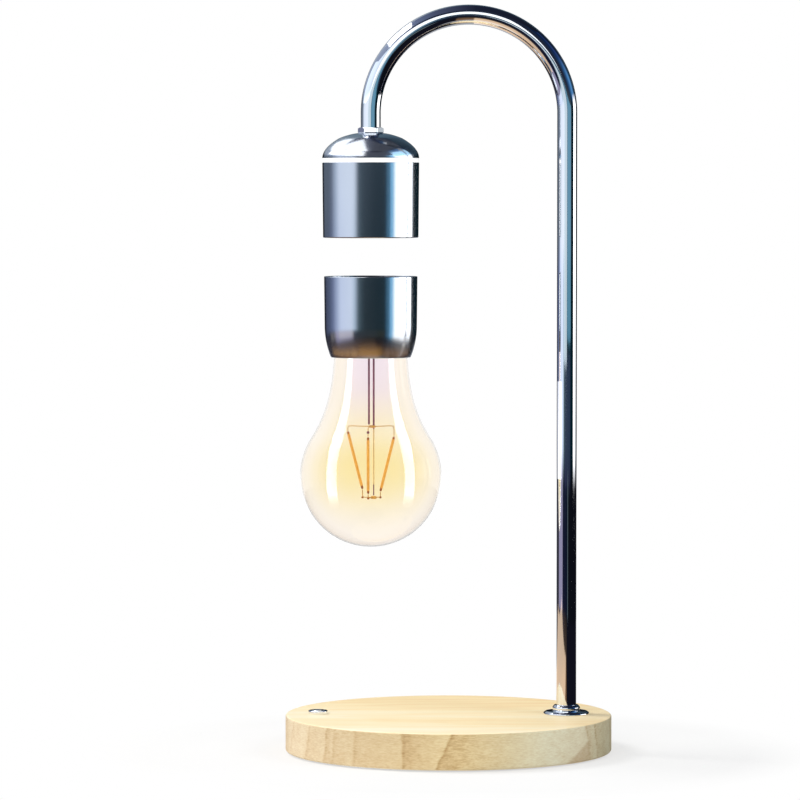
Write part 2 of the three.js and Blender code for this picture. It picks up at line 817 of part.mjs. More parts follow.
function coilBobbin() {
  const bore = coreRadius + fitGap;
  return revolve([
    [bore, bobbinBottom], [bobbinRadius, bobbinBottom], [bobbinRadius, bobbinBottom + bobbinFlange],
    [bobbinHubRadius, bobbinBottom + bobbinFlange], [bobbinHubRadius, bracketBottom - bobbinFlange],
    [bobbinRadius, bracketBottom - bobbinFlange], [bobbinRadius, bracketBottom], [bore, bracketBottom],
    [bore, bobbinBottom],
  ], ringSides);
}

function coilWinding() {
  const bottom = bobbinBottom + bobbinFlange + fitGap;
  const top = bracketBottom - bobbinFlange - fitGap;
  return ring(bobbinHubRadius + fitGap, bobbinRadius - windingInset, bottom, top, ringSides);
}

function transmitterCoil() {
  return ring(coilOuterRadius - coilWidth, coilOuterRadius, coverTop, transmitterTop, ringSides);
}

function ferriteRing() {
  return ring(coilOuterRadius - ferriteWidth, coilOuterRadius, transmitterTop, bobbinBottom, ringSides);
}

function headBottomCover() {
  return disc(headBottomRadius - shellWall - fitGap, coverInset, coverTop, bodySides);
}

function headCollarNut() {
  return hexNut(headNutRadius, nutBore, domeTop, domeTop + headNutHeight, headNutChamfer);
}

function hallSensor() {
  const xs = [-sensorLength / 2, sensorLength / 2];
  const ys = [-sensorWidth / 2, sensorWidth / 2];
  return block(xs, ys, [coverTop, coverTop + sensorHeight]);
}

const head = new THREE.Group();
head.position.set(floatX, 0, headBottomZ);
head.add(piece("head_collar_nut", headCollarNut(), chrome));
head.add(piece("head_inner_nut", hexNut(innerNutRadius, nutBore, innerNutBottom, innerNutTop, 0), zincSteel));
head.add(piece("dome_cap", domeCap(), satinSteel));
head.add(piece("light_ring", lightRing(), whitePlastic));
head.add(piece("head_shell", headShell(), satinSteel));
head.add(piece("head_bottom_cover", headBottomCover(), blackPlastic));
head.add(piece("head_board", disc(headBoardRadius, domeBottom, headBoardTop, ringSides), circuitBoard));
headScrewPlaces.forEach(([x, y], i) => {
  const geometry = screw(headScrewHeadRadius, headScrewHeadHeight, headScrewRadius, headScrewLength);
  head.add(piece(`head_screw_${i + 1}`, geometry, zincSteel, x, y, bracketBottom));
});
head.add(piece("coil_bracket", coilBracket(), zincSteel));
head.add(piece("coil_bobbin", coilBobbin(), blackPlastic));
head.add(piece("coil_winding", coilWinding(), copper));
head.add(piece("iron_core", disc(coreRadius, bobbinBottom, bracketBottom, smallSides), zincSteel));
head.add(piece("transmitter_coil", transmitterCoil(), copper));
head.add(piece("ferrite_ring", ferriteRing(), ferrite));
head.add(piece("hall_sensor", hallSensor(), blackPlastic));

// Floating unit, with its heights measured from the lower edge of the cup
const cupHoleRadius = neckRadius + fitGap;
const lidBottom = cupHeight - lidInset - lidThickness;
const receiverBottom = lidBottom - receiverThickness;
const magnetBottom = lidBottom - fitGap - magnetHeight;
const holderBottom = magnetBottom - fitGap - holderFloor;
const receiverBoardTop = holderBottom - holderPostLength;
const receiverBoardBottom = receiverBoardTop - boardThickness;

function bulbCup() {
  const slope = (cupBendRadius - cupBottomRadius) / cupBendHeight;
  const lower = [cupBendRadius - slope * cupBendReach, cupBendHeight - cupBendReach];
  const upper = [cupBendRadius, cupBendHeight + cupBendReach];
  return revolve([
    [cupHoleRadius, 0], [cupBottomRadius - cupEdgeRound, 0],
    [cupBottomRadius + slope * cupEdgeRound, cupEdgeRound],
    ...bend(lower, [cupBendRadius, cupBendHeight], upper, roundSteps),
    [cupTopRadius, cupHeight], [cupTopRadius - cupWall, cupHeight],
    [upper[0] - cupWall, upper[1]], [lower[0] - cupWall, lower[1]],
    [cupHoleRadius, cupWall], [cupHoleRadius, 0],
  ], bodySides);
}

function magnetHolder() {
  const floorTop = holderBottom + holderFloor;
  const pocket = magnetRadius + fitGap;
  const body = revolve([
    [0, holderBottom], [holderRadius, holderBottom], [holderRadius, receiverBottom],
    [holderRadius - holderCollarWall, receiverBottom], [holderRadius - holderCollarWall, floorTop],
    [pocket + holderCollarWall, floorTop], [pocket + holderCollarWall, receiverBottom],
    [pocket, receiverBottom], [pocket, floorTop], [0, floorTop],
  ], ringSides);
  const postPlaces = placesOnCircle(holderPostCount, holderPostCircle, 0);
  const posts = holes(postPlaces, holderPostRadius, receiverBoardTop, floorTop - holderFloor / 2);
  return fuse(body, ...posts);
}

// Outline of the bulb, from the lowest point to the neck, drawn in by a wall's thickness for the inside
function glassOutline(inset) {
  const radius = glassRadius - inset;
  const ball = arcPoints(0, -glassCentreDrop, radius, -quarter, shoulderAngle, glassBallSteps);
  const [startRadius, startHeight] = ball[ball.length - 1];
  const tangent = [-Math.sin(shoulderAngle), Math.cos(shoulderAngle)];
  const shoulder = curvePoints(new THREE.CubicBezierCurve(
    new THREE.Vector2(startRadius, startHeight),
    new THREE.Vector2(startRadius + shoulderReach * tangent[0], startHeight + shoulderReach * tangent[1]),
    new THREE.Vector2(neckRadius - inset + neckFlare, -neckReach),
    new THREE.Vector2(neckRadius - inset, 0),
  ), glassShoulderSteps);
  const pole = [0, -glassCentreDrop - radius];
  const neckTop = [neckTopRadius - inset, neckInsideCup];
  return [pole, ...ball.slice(1), ...shoulder.slice(1), neckTop];
}

function glassEnvelope() {
  return revolve([...glassOutline(0), ...glassOutline(glassWall).reverse()], ringSides);
}

function glassStem() {
  const flareRadius = neckTopRadius - glassWall - fitGap;
  const flareBottom = neckInsideCup - stemFlareThickness;
  const stem = revolve([
    [0, stemBottom], [stemRadius, stemBottom], [stemRadius, flareBottom - stemFlareDepth],
    [flareRadius, flareBottom], [flareRadius, neckInsideCup], [0, neckInsideCup],
  ], ringSides);
  return drilled(stem, [[topLeadX, 0], [bottomLeadX, 0]], leadRadius, stemBottom, neckInsideCup);
}

function lead(bottom) {
  return disc(leadRadius, bottom, receiverBoardBottom - fitGap, leadSides);
}

function wire(points, steps) {
  const places = points.map((point) => new THREE.Vector3(...point));
  const curve = new THREE.CatmullRomCurve3(places, false, "centripetal");
  return sweep(curve, roundSection(spokeRadius, wireSides), steps);
}

// A spoke leaves its hub level, then bends to the tip of a filament
function spoke(hubX, hubHeight, [x, y, drop], tipGap) {
  const outward = (share) => [hubX + (x - hubX) * share, y * share, hubHeight];
  return wire([outward(spokeStartShare), outward(spokeKneeShare), [x, y, -drop + tipGap]], spokeSteps);
}

function filamentHanger() {
  const bottom = -hangerDrop - hangerHubHeight;
  const hub = disc(hangerHubRadius, bottom, -hangerDrop, smallSides).translate(hangerHubX, 0, 0);
  const spokes = filamentTops.map((top) => spoke(hangerHubX, bottom + hangerHubHeight / 2, top, fitGap));
  return drilled(fuse(hub, ...spokes), [[bottomLeadX, 0]], leadRadius, bottom, -hangerDrop);
}

function filamentHub() {
  const hub = disc(hubRadius, -hubDrop - hubHeight, -hubDrop, smallSides).translate(bottomLeadX, 0, 0);
  const middle = -hubDrop - hubHeight / 2;
  return fuse(hub, ...filamentBottoms.map((bottom) => spoke(bottomLeadX, middle, bottom, -fitGap)));
}

function filament(length) {
  const half = length / 2;
  const body = half - filamentTipLength;
  return revolve([
    [0, -half], [filamentTipRadius, -half], [filamentTipRadius, -body], [filamentRadius, -body],
    [filamentRadius, body], [filamentTipRadius, body], [filamentTipRadius, half], [0, half],
  ], leadSides);
}

function cupLid() {
  return disc(cupTopRadius - cupWall - 2 * fitGap, lidBottom, lidBottom + lidThickness, bodySides);
}

function receiverCoil() {
  const inner = receiverOuterRadius - receiverWidth;
  return ring(inner, receiverOuterRadius, receiverBottom, lidBottom, ringSides);
}

function receiverBoard() {
  const radius = holderRadius - receiverBoardInset;
  return disc(radius, receiverBoardBottom, receiverBoardTop, ringSides);
}

function floatMagnet() {
  return disc(magnetRadius, magnetBottom, magnetBottom + magnetHeight, ringSides);
}

const bulb = new THREE.Group();
bulb.position.set(floatX, 0, cupBottomZ);
bulb.add(piece("float_magnet", floatMagnet(), neodymium));
bulb.add(piece("bulb_cup", bulbCup(), satinSteel));
bulb.add(piece("cup_lid", cupLid(), blackPlastic));
bulb.add(piece("magnet_holder", magnetHolder(), blackPlastic));
bulb.add(piece("receiver_coil", receiverCoil(), copper));
bulb.add(piece("receiver_board", receiverBoard(), circuitBoard));
bulb.add(piece("glass_envelope", glassEnvelope(), glass));
bulb.add(piece("glass_stem", glassStem(), glass));
bulb.add(piece("top_lead_wire", lead(-hangerDrop + fitGap), leadWire, topLeadX));
bulb.add(piece("bottom_lead_wire", lead(-hubDrop + fitGap), leadWire, bottomLeadX));
bulb.add(piece("filament_hanger", filamentHanger(), goldWire));
bulb.add(piece("filament_hub", filamentHub(), goldWire));
filamentNames.forEach((name, i) => {
  const [topX, topY, topDrop] = filamentTops[i];
  const [bottomX, bottomY, bottomDrop] = filamentBottoms[i];
  const top = new THREE.Vector3(topX, topY, -topDrop);
  const bottom = new THREE.Vector3(bottomX, bottomY, -bottomDrop);
  const mesh = piece(`filament_${name}`, filament(top.distanceTo(bottom)), glowing);
  mesh.position.addVectors(top, bottom).divideScalar(2);
  mesh.quaternion.setFromUnitVectors(new THREE.Vector3(0, 0, 1), top.sub(bottom).normalize());
  bulb.add(mesh);
});

const lamp = new THREE.Group();
lamp.add(base, arm, head, bulb);

export default lamp;
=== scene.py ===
"""Levitating bulb desk lamp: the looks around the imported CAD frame.

Shapes are written in millimetres and turned into metres as they are built.
"""
import json
from math import ceil, cos, pi, radians, sin, tan

import bmesh
import bpy
from mathutils import Matrix, Vector


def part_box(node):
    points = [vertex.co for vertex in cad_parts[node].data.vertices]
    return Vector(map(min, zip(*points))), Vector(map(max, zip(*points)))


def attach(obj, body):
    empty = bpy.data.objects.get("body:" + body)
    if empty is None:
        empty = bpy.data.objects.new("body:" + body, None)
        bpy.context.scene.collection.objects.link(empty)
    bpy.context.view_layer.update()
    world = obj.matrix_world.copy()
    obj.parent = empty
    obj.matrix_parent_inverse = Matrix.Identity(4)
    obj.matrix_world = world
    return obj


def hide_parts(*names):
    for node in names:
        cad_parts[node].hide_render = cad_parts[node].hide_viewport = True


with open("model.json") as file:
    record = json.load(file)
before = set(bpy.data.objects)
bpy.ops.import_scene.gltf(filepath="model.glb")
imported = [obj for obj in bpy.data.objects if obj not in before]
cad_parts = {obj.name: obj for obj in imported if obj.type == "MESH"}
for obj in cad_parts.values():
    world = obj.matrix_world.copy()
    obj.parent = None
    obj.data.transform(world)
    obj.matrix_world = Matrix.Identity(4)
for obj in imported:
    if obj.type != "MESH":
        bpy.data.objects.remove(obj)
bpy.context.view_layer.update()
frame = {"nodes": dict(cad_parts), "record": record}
scene = bpy.context.scene
NODES = frame["nodes"]
MM = 0.001

# Places and sizes of the CAD frame, in millimetres
ARM_X = 59.3
BULB_X = -39.05
BUTTON_X = -65.7
INLET_Z = 8.4
BASE_RADIUS = 82.0
BASE_TOP = 18.9
ARCH_X = (ARM_X + BULB_X) / 2
ARCH_RADIUS = 49.175
ARCH_Z = 320.825
TUBE_FOOT_Z = 7.0
TUBE_END_Z = 305.7
TUBE_RADIUS = 5.0
TUBE_BORE = 4.0
TUBE_HOLE = 5.3
HEAD_Z = 258.5
HEAD_RADIUS = 24.26
RING_FOOT = 37.65
RING_TOP = 39.75
CUP_Z = 198.6
GLASS_RADIUS = 35.55
GLASS_DROP = 59.6
GLASS_WALL = 0.8


# Shape helpers

def fillet(corners, steps):
    """Rounds the corners of an outline given as (radius, height, rounding)."""
    out = []
    for i, (r, z, size) in enumerate(corners):
        here = Vector((r, z))
        if size <= 0:
            out.append((r, z))
            continue
        before = Vector(corners[i - 1][:2]) - here
        after = Vector(corners[(i + 1) % len(corners)][:2]) - here
        a, b = before.normalized(), after.normalized()
        half = a.angle(b) / 2
        reach = min(size / tan(half), before.length * 0.49, after.length * 0.49)
        true_size = reach * tan(half)
        centre = here + (a + b).normalized() * (true_size / sin(half))
        start = (here + a * reach) - centre
        turn = start.angle_signed((here + b * reach) - centre)
        for k in range(steps + 1):
            angle = -turn * k / steps
            c, s = cos(angle), sin(angle)
            spot = centre + Vector((start.x * c - start.y * s, start.x * s + start.y * c))
            out.append((spot.x, spot.y))
    return out


def bezier(points, steps):
    """Points on a quadratic or cubic curve in the radius and height plane."""
    out = []
    for k in range(steps + 1):
        t = k / steps
        level = [Vector(p) for p in points]
        while len(level) > 1:
            level = [a.lerp(b, t) for a, b in zip(level, level[1:])]
        out.append((level[0].x, level[0].y))
    return out


def arc(centre_r, centre_z, radius, start, end, steps):
    """Points on part of a circle in the radius and height plane, between two angles in degrees."""
    angles = [radians(start + (end - start) * k / steps) for k in range(steps + 1)]
    return [(centre_r + radius * cos(a), centre_z + radius * sin(a)) for a in angles]


def add_object(name, data):
    obj = bpy.data.objects.new(name, data)
    scene.collection.objects.link(obj)
    return obj


def paint(obj, *materials):
    for material in materials:
        obj.data.materials.append(material)


def mesh_object(name, points, faces, smooth_angle=35):
    """A mesh from points in millimetres, with its normals made to face out."""
    mesh = bpy.data.meshes.new(name)
    mesh.from_pydata([Vector(p) * MM for p in points], [], faces)
    work = bmesh.new()
    work.from_mesh(mesh)
    bmesh.ops.remove_doubles(work, verts=work.verts, dist=1e-7)
    bmesh.ops.recalc_face_normals(work, faces=work.faces)
    work.to_mesh(mesh)
    work.free()
    obj = add_object(name, mesh)
    shade(obj, smooth_angle)
    return obj


def shade(obj, smooth_angle):
    obj.data.shade_smooth()
    obj.data.set_sharp_from_angle(angle=radians(smooth_angle))
    weighted = obj.modifiers.new("weighted", "WEIGHTED_NORMAL")
    weighted.keep_sharp = True


def lathe(name, outline, x=0.0, y=0.0, z=0.0, segments=160, closed=True, bend=None, smooth_angle=35):
    """Turns an outline of (radius, height) round Z. bend may move each point by its angle."""
    points, rings, faces = [], [], []
    for r, h in outline:
        if r < 1e-6:
            rings.append([len(points)] * segments)
            points.append((x, y, z + h))
            continue
        rings.append(range(len(points), len(points) + segments))
        for k in range(segments):
            angle = 2 * pi * k / segments
            radius, height = bend(r, h, angle) if bend else (r, h)
            points.append((x + radius * cos(angle), y + radius * sin(angle), z + height))
    pairs = list(zip(rings, rings[1:]))
    if closed:
        pairs.append((rings[-1], rings[0]))
    for low, high in pairs:
        for k in range(segments):
            n = (k + 1) % segments
            face = tuple(dict.fromkeys((low[k], low[n], high[n], high[k])))
            if len(face) > 2:
                faces.append(face)
    return mesh_object(name, points, faces, smooth_angle)


def frames_along(spots):
    """Unit vectors across a path that turn as little as they can."""
    last = len(spots) - 1
    ways = [(spots[min(i + 1, last)] - spots[max(i - 1, 0)]).normalized() for i in range(last + 1)]
    side = Vector((0, 1, 0)) if abs(ways[0].y) < 0.9 else ways[0].orthogonal().normalized()
    out = []
    for way in ways:
        side = (side - way * side.dot(way)).normalized()
        out.append((side, way.cross(side)))
    return out


def pipe(name, points, radii, sides, bore=0):
    """A round bar or tube along points; radii is one radius or one for each point."""
    spots = [Vector(p) for p in points]
    if not hasattr(radii, "__len__"):
        radii = [radii] * len(spots)
    circles = list(zip(spots, frames_along(spots), radii))
    if bore:
        circles += [(spot, pair, bore) for spot, pair, _ in circles[::-1]]
    verts = []
    for spot, (side, up), radius in circles:
        for k in range(sides):
            angle = 2 * pi * k / sides
            verts.append(spot + side * (radius * cos(angle)) + up * (radius * sin(angle)))
    rows = [range(first, first + sides) for first in range(0, len(verts), sides)]
    caps = [tuple(rows[0][::-1]), tuple(rows[-1])]
    if bore:
        rows.append(rows[0])
        caps = []
    faces = []
    for low, high in zip(rows, rows[1:]):
        for k in range(sides):
            n = (k + 1) % sides
            faces.append((low[k], low[n], high[n], high[k]))
    return mesh_object(name, verts, faces + caps)


def bar(name, start, end, radius, sides, ripple=None):
    """A straight bar with rounded ends. ripple, where given, is a share by which the radius grows."""
    a, b = Vector(start), Vector(end)
    length = (b - a).length
    steps, rings = 4, 60
    turns = [pi / 2 * k / steps for k in range(steps + 1)]
    tip = [(radius * 0.999 * (1 - cos(turn)), radius * sin(turn)) for turn in turns]
    tip[0] = (0, radius * 0.05)
    middle = []
    if ripple:
        shares = [k / rings for k in range(1, rings) if radius < length * k / rings < length - radius]
        middle = [(length * share, radius * (1 + ripple(share))) for share in shares]
    rows = [*tip, *middle, *((length - d, r) for d, r in tip[::-1])]
    way = (b - a).normalized()
    return pipe(name, [a + way * d for d, _ in rows], [r for _, r in rows], sides)


def joined(name, parts):
    """One object made of several, which keep their own materials."""
    work = bmesh.new()
    slots = []
    for part in parts:
        offset = len(slots)
        slots += list(part.data.materials)
        first = len(work.faces)
        work.from_mesh(part.data)
        work.faces.ensure_lookup_table()
        for face in work.faces[first:]:
            face.material_index += offset
    mesh = bpy.data.meshes.new(name)
    work.to_mesh(mesh)
    work.free()
    for part in parts:
        bpy.data.objects.remove(part)
    obj = add_object(name, mesh)
    paint(obj, *slots)
    shade(obj, 35)
    return obj


def carved(target, cutters, smooth_angle):
    """Cuts the cutters out of the target and removes them."""
    target.modifiers.clear()
    for cutter in cutters:
        cut = target.modifiers.new("cut", "BOOLEAN")
        cut.operation = "DIFFERENCE"
        cut.solver = "EXACT"
        cut.object = cutter
    bpy.context.view_layer.update()
    graph = bpy.context.evaluated_depsgraph_get()
    mesh = bpy.data.meshes.new_from_object(target.evaluated_get(graph))
    target.modifiers.clear()
    target.data = mesh
    for cutter in cutters:
        bpy.data.objects.remove(cutter)
    shade(target, smooth_angle)
    return target


def place(obj, body, slot, *replaced):
    """Gives a finished piece its body and the slot's material where it has none of its own,
    and hides the nodes it stands for."""
    if not any(obj.data.materials):
        obj.data.materials.clear()
        paint(obj, MATERIALS[slot])
    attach(obj, body)
    if replaced:
        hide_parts(*replaced)
    return obj


def turned(name, corners, steps, x, z, segments, body, slot, node, *materials):
    """A piece turned round an upright axis from corners that are rounded, and placed."""
    obj = lathe(name, fillet(corners, steps), x=x, z=z, segments=segments)
    paint(obj, *materials)
    return place(obj, body, slot, node)


# Material helpers

MOST_STOPS = 24


class Nodes:
    """Short ways to add nodes to the tree of a material or of the world."""

    def __init__(self, tree):
        self.tree = tree

    def feed(self, socket, value):
        if isinstance(value, bpy.types.NodeSocket):
            self.tree.links.new(value, socket)
        else:
            socket.default_value = value

    def node(self, kind, inputs=None, **settings):
        made = self.tree.nodes.new(kind)
        for key, value in settings.items():
            setattr(made, key, value)
        for key, value in (inputs or {}).items():
            self.feed(made.inputs[key], value)
        return made

    def show(self, shader):
        """Leads a shader to the output of the tree."""
        output = next(n for n in self.tree.nodes if n.type.startswith("OUTPUT"))
        self.feed(output.inputs["Surface"], shader)

    def place(self, scale=(1, 1, 1)):
        """Object coordinates in millimetres, scaled."""
        where = self.node("ShaderNodeTexCoord").outputs["Object"]
        made = self.node("ShaderNodeMapping", {"Vector": where, "Scale": [s / MM for s in scale]})
        return made.outputs["Vector"]

    def axes(self):
        """X, Y and Z in millimetres."""
        split = self.node("ShaderNodeSeparateXYZ", {"Vector": self.place()})
        return [split.outputs[k] for k in "XYZ"]

    def noise(self, scale, detail, roughness=0.5):
        made = self.node("ShaderNodeTexNoise", {
            "Vector": self.place(scale), "Scale": 1, "Detail": detail, "Roughness": roughness,
        })
        return made.outputs["Fac"]

    def math(self, operation, *values):
        made = self.node("ShaderNodeMath", operation=operation)
        for socket, value in zip(made.inputs, values):
            self.feed(socket, value)
        return made.outputs[0]

    def add(self, total, *others):
        for other in others:
            total = self.math("ADD", total, other)
        return total

    def minus(self, a, b):
        return self.math("SUBTRACT", a, b)

    def times(self, a, b):
        return self.math("MULTIPLY", a, b)

    def length(self, a, b):
        """How far (a, b) lies from (0, 0)."""
        return self.math("SQRT", self.add(self.times(a, a), self.times(b, b)))

    def azimuth(self, x, y):
        """The angle about Z in radians: 0 in front of the lamp, and growing to the right."""
        return self.math("ARCTAN2", x, self.times(y, -1.0))

    def span(self, factor, low, high, to_low=0, to_high=1):
        made = self.node("ShaderNodeMapRange", {
            "Value": factor, "From Min": low, "From Max": high, "To Min": to_low, "To Max": to_high,
        })
        return made.outputs["Result"]

    def spread(self, noise, low, high):
        """Takes the usual reach of a noise, 0.3 to 0.7, to another."""
        return self.span(noise, 0.3, 0.7, low, high)

    def mix(self, factor, a, b, blend="MIX"):
        made = self.node("ShaderNodeMix", data_type="RGBA", blend_type=blend)
        self.feed(made.inputs["Factor"], factor)
        self.feed(made.inputs[6], a)
        self.feed(made.inputs[7], b)
        return made.outputs[2]

    def ramp(self, factor, stops):
        made = self.node("ShaderNodeValToRGB", {"Fac": factor})
        elements = made.color_ramp.elements
        elements.remove(elements[1])
        elements[0].position = stops[0][0]
        elements[0].color = (*stops[0][1], 1)
        for position, color in stops[1:]:
            elements.new(position).color = (*color, 1)
        return made.outputs["Color"]

    def shades(self, noise, dark, light):
        return self.ramp(noise, [(0.3, dark), (0.7, light)])

    def ramp_chain(self, factor, stops):
        """A ramp of more stops than one node can hold, as several ramps one after the other."""
        out = None
        for first in range(0, len(stops) - 1, MOST_STOPS):
            piece = stops[first:first + MOST_STOPS + 1]
            low, high = piece[0][0], piece[-1][0]
            local = self.span(factor, low, high)
            part = self.ramp(local, [((p - low) / (high - low), c) for p, c in piece])
            out = part if out is None else self.mix(self.math("GREATER_THAN", factor, low), out, part)
        return out

    def seen_directly(self):
        """1 for what the camera sees, also by reflection and through glass; 0 for light on things."""
        path = self.node("ShaderNodeLightPath").outputs
        seen = self.math("MAXIMUM", path["Is Camera Ray"], path["Is Glossy Ray"])
        return self.math("MAXIMUM", seen, path["Is Transmission Ray"])


class Shader(Nodes):
    """A material with a Principled surface."""

    def __init__(self, name, **settings):
        self.material = bpy.data.materials.new(name)
        self.material.use_nodes = True
        super().__init__(self.material.node_tree)
        self.surface = self.tree.nodes["Principled BSDF"]
        for key, value in settings.items():
            self.surface.inputs[key.replace("_", " ")].default_value = value

    def color(self, socket):
        self.feed(self.surface.inputs["Base Color"], socket)

    def rough(self, socket):
        self.feed(self.surface.inputs["Roughness"], socket)

    def glow(self, color, strength):
        self.feed(self.surface.inputs["Emission Color"], color)
        self.surface.inputs["Emission Strength"].default_value = strength

    def bump(self, height, strength, distance):
        made = self.node("ShaderNodeBump", {
            "Height": height, "Strength": strength, "Distance": distance * MM,
        })
        self.feed(self.surface.inputs["Normal"], made.outputs["Normal"])


def grey(value):
    return (value, value, value)


def rgb(r, g, b):
    """A linear colour from the usual 0 to 255 values."""
    return tuple(c / 255 / 12.92 if c <= 10 else ((c / 255 + 0.055) / 1.055) ** 2.4 for c in (r, g, b))


# Materials

def chrome_material():
    s = Shader("chrome", Metallic=1)
    smear = s.noise((0.12, 0.12, 0.03), 4, 0.6)
    s.rough(s.span(smear, 0.3, 0.75, 0.03, 0.07))
    s.color(s.shades(smear, (0.84, 0.86, 0.9), (0.9, 0.91, 0.93)))
    s.bump(s.noise((0.05, 0.05, 0.02), 0), 0.004, 0.03)
    return s.material


def satin_material():
    s = Shader("satin_metal", Metallic=1)
    grooves = s.noise((0.02, 0.02, 5), 2)
    cloud = s.noise((0.05, 0.05, 0.03), 2)
    s.color(s.shades(cloud, (0.66, 0.695, 0.745), (0.7, 0.735, 0.785)))
    # Coarser on the cup's taper
    blasted = s.span(s.axes()[2], CUP_Z + 12, CUP_Z + 5, 0, 0.07)
    even = s.add(s.spread(cloud, 0.16, 0.178), s.spread(grooves, -0.008, 0.008))
    s.rough(s.add(even, blasted))
    s.bump(grooves, 0.015, 0.01)
    return s.material


def zinc_material():
    s = Shader("zinc_steel", Metallic=1)
    cloud = s.noise((0.5, 0.5, 0.5), 4, 0.6)
    s.color(s.shades(cloud, (0.5, 0.51, 0.52), (0.66, 0.67, 0.68)))
    s.rough(s.spread(cloud, 0.28, 0.48))
    s.bump(s.noise((3, 3, 3), 3), 0.06, 0.05)
    return s.material


def plastic_material(name, dark, light, rough_low, rough_high, grain=2.5):
    s = Shader(name)
    cloud = s.noise((0.15, 0.15, 0.15), 3)
    s.color(s.mix(cloud, (*dark, 1), (*light, 1)))
    fine = s.noise((grain, grain, grain), 2)
    s.rough(s.spread(fine, rough_low, rough_high))
    s.bump(fine, 0.12, 0.05)
    return s.material


def board_material():
    s = Shader("circuit_board")
    where = s.place(scale=(0.45, 0.45, 0.001))
    cells = s.node("ShaderNodeTexVoronoi", {"Vector": where, "Scale": 1}, distance="MANHATTAN")
    tracks = s.math("LESS_THAN", s.math("PINGPONG", cells.outputs["Distance"], 0.12), 0.045)
    s.color(s.mix(tracks, (0.012, 0.11, 0.045, 1), (0.03, 0.22, 0.09, 1)))
    s.rough(s.span(tracks, 0, 1, 0.32, 0.45))
    s.bump(tracks, 0.3, 0.04)
    return s.material


def winding_material():
    s = Shader("copper_wire", Metallic=1)
    where = s.place(scale=(0.35, 0.35, 0.35))
    rows = s.node("ShaderNodeTexWave", {"Vector": where, "Scale": 2.2, "Distortion": 0.4},
                  wave_type="BANDS", bands_direction="Z")
    s.color(s.ramp(rows.outputs["Fac"], [(0, (0.25, 0.085, 0.03)), (0.5, (0.62, 0.27, 0.11))]))
    s.rough(s.span(rows.outputs["Fac"], 0, 1, 0.4, 0.22))
    s.bump(rows.outputs["Fac"], 0.5, 0.12)
    return s.material


def metal_material(name, dark, light, rough_low, rough_high, scale=0.8, metallic=1):
    s = Shader(name, Metallic=metallic)
    cloud = s.noise((scale, scale, scale * 0.4), 4, 0.6)
    s.color(s.shades(cloud, dark, light))
    s.rough(s.spread(cloud, rough_low, rough_high))
    s.bump(cloud, 0.08, 0.03)
    return s.material


STRIP_WIDTH = 38
STRIP_SHIFT = 438
RING_GAP = 6.2
RIM_HALF = 258

# Growth lines round the rim: how far round from the front in millimetres, and how dark
GROWTH_LINES = [
    (-236, 0.6), (-205, 0.4), (-187, 0.8), (-150, 0.5), (-129, 0.7), (-104, 0.4), (-84, 0.45),
    (-68.8, 0.5), (-63.1, 0.35), (-49.4, 0.45), (-23.5, 0.72), (-3.1, 0.85), (80.6, 0.5), (89.2, 0.6),
    (112, 0.5), (148, 0.7), (169, 0.4), (201, 0.8), (233, 0.5),
]


def growth_stops():
    """Stops of a ramp that darkens at once at each line and fades towards the next."""
    stops = [(0, grey(0.2))]
    ends = [here for here, _ in GROWTH_LINES[1:]] + [RIM_HALF]
    for (here, dark), after in zip(GROWTH_LINES, ends):
        left = (here + RIM_HALF) / (2 * RIM_HALF)
        gap = (after - here) / (2 * RIM_HALF)
        stops.append((left - 0.0022, grey(0.16)))
        stops.append((left, grey(dark + 0.15)))
        stops.append((left + 0.0034, grey(dark * 0.85)))
        if gap > 0.12:
            stops.append((left + gap * 0.45, grey(dark * 0.2)))
        elif gap > 0.03:
            stops.append((left + gap * 0.5, grey(dark * 0.55)))
    return stops


def wood_top(s, x, y, z):
    """Strips side by side, each with rings round its own axis along X. Gives its two grains too."""
    moved = s.add(y, STRIP_SHIFT)
    strip = s.math("FLOOR", s.math("DIVIDE", moved, STRIP_WIDTH))
    dice = s.node("ShaderNodeTexWhiteNoise", {"W": strip}, noise_dimensions="1D")
    lot = s.node("ShaderNodeSeparateColor", {"Color": dice.outputs["Color"]}).outputs
    inside = s.minus(moved, s.times(strip, STRIP_WIDTH))
    dy = s.minus(inside, s.span(lot[0], 0, 1, -18, 56))
    dz = s.minus(z, s.add(s.span(lot[1], 0, 1, -46, -12), s.times(x, 0.05)))
    path = s.noise((0.012, 0.05, 0.05), 3, 0.55)
    far = s.add(s.length(dy, dz), s.times(path, 9))
    turns = s.math("FRACT", s.math("DIVIDE", far, RING_GAP))
    ring = s.ramp(turns, [(0, grey(0)), (0.55, grey(0.25)), (0.84, grey(1)), (1, grey(0))])
    fibre = s.noise((0.016, 0.4, 0.4), 4, 0.6)
    fine = s.noise((0.09, 2.6, 2.6), 3, 0.6)
    cloud = s.noise((0.012, 0.03, 0.03), 3)
    warm = s.span(s.add(y, s.times(x, 0.35)), -70, 80)
    tone = s.add(
        s.times(ring, 0.13), s.times(fibre, 0.62), s.times(fine, 0.12), s.span(lot[2], 0, 1, -0.1, 0.1),
        s.spread(cloud, -0.08, 0.08), s.times(warm, 0.34),
    )
    top = s.ramp(tone, [
        (0.22, rgb(254, 243, 214)), (0.55, rgb(251, 230, 184)), (1, rgb(236, 196, 138)),
    ])
    return top, fibre, fine


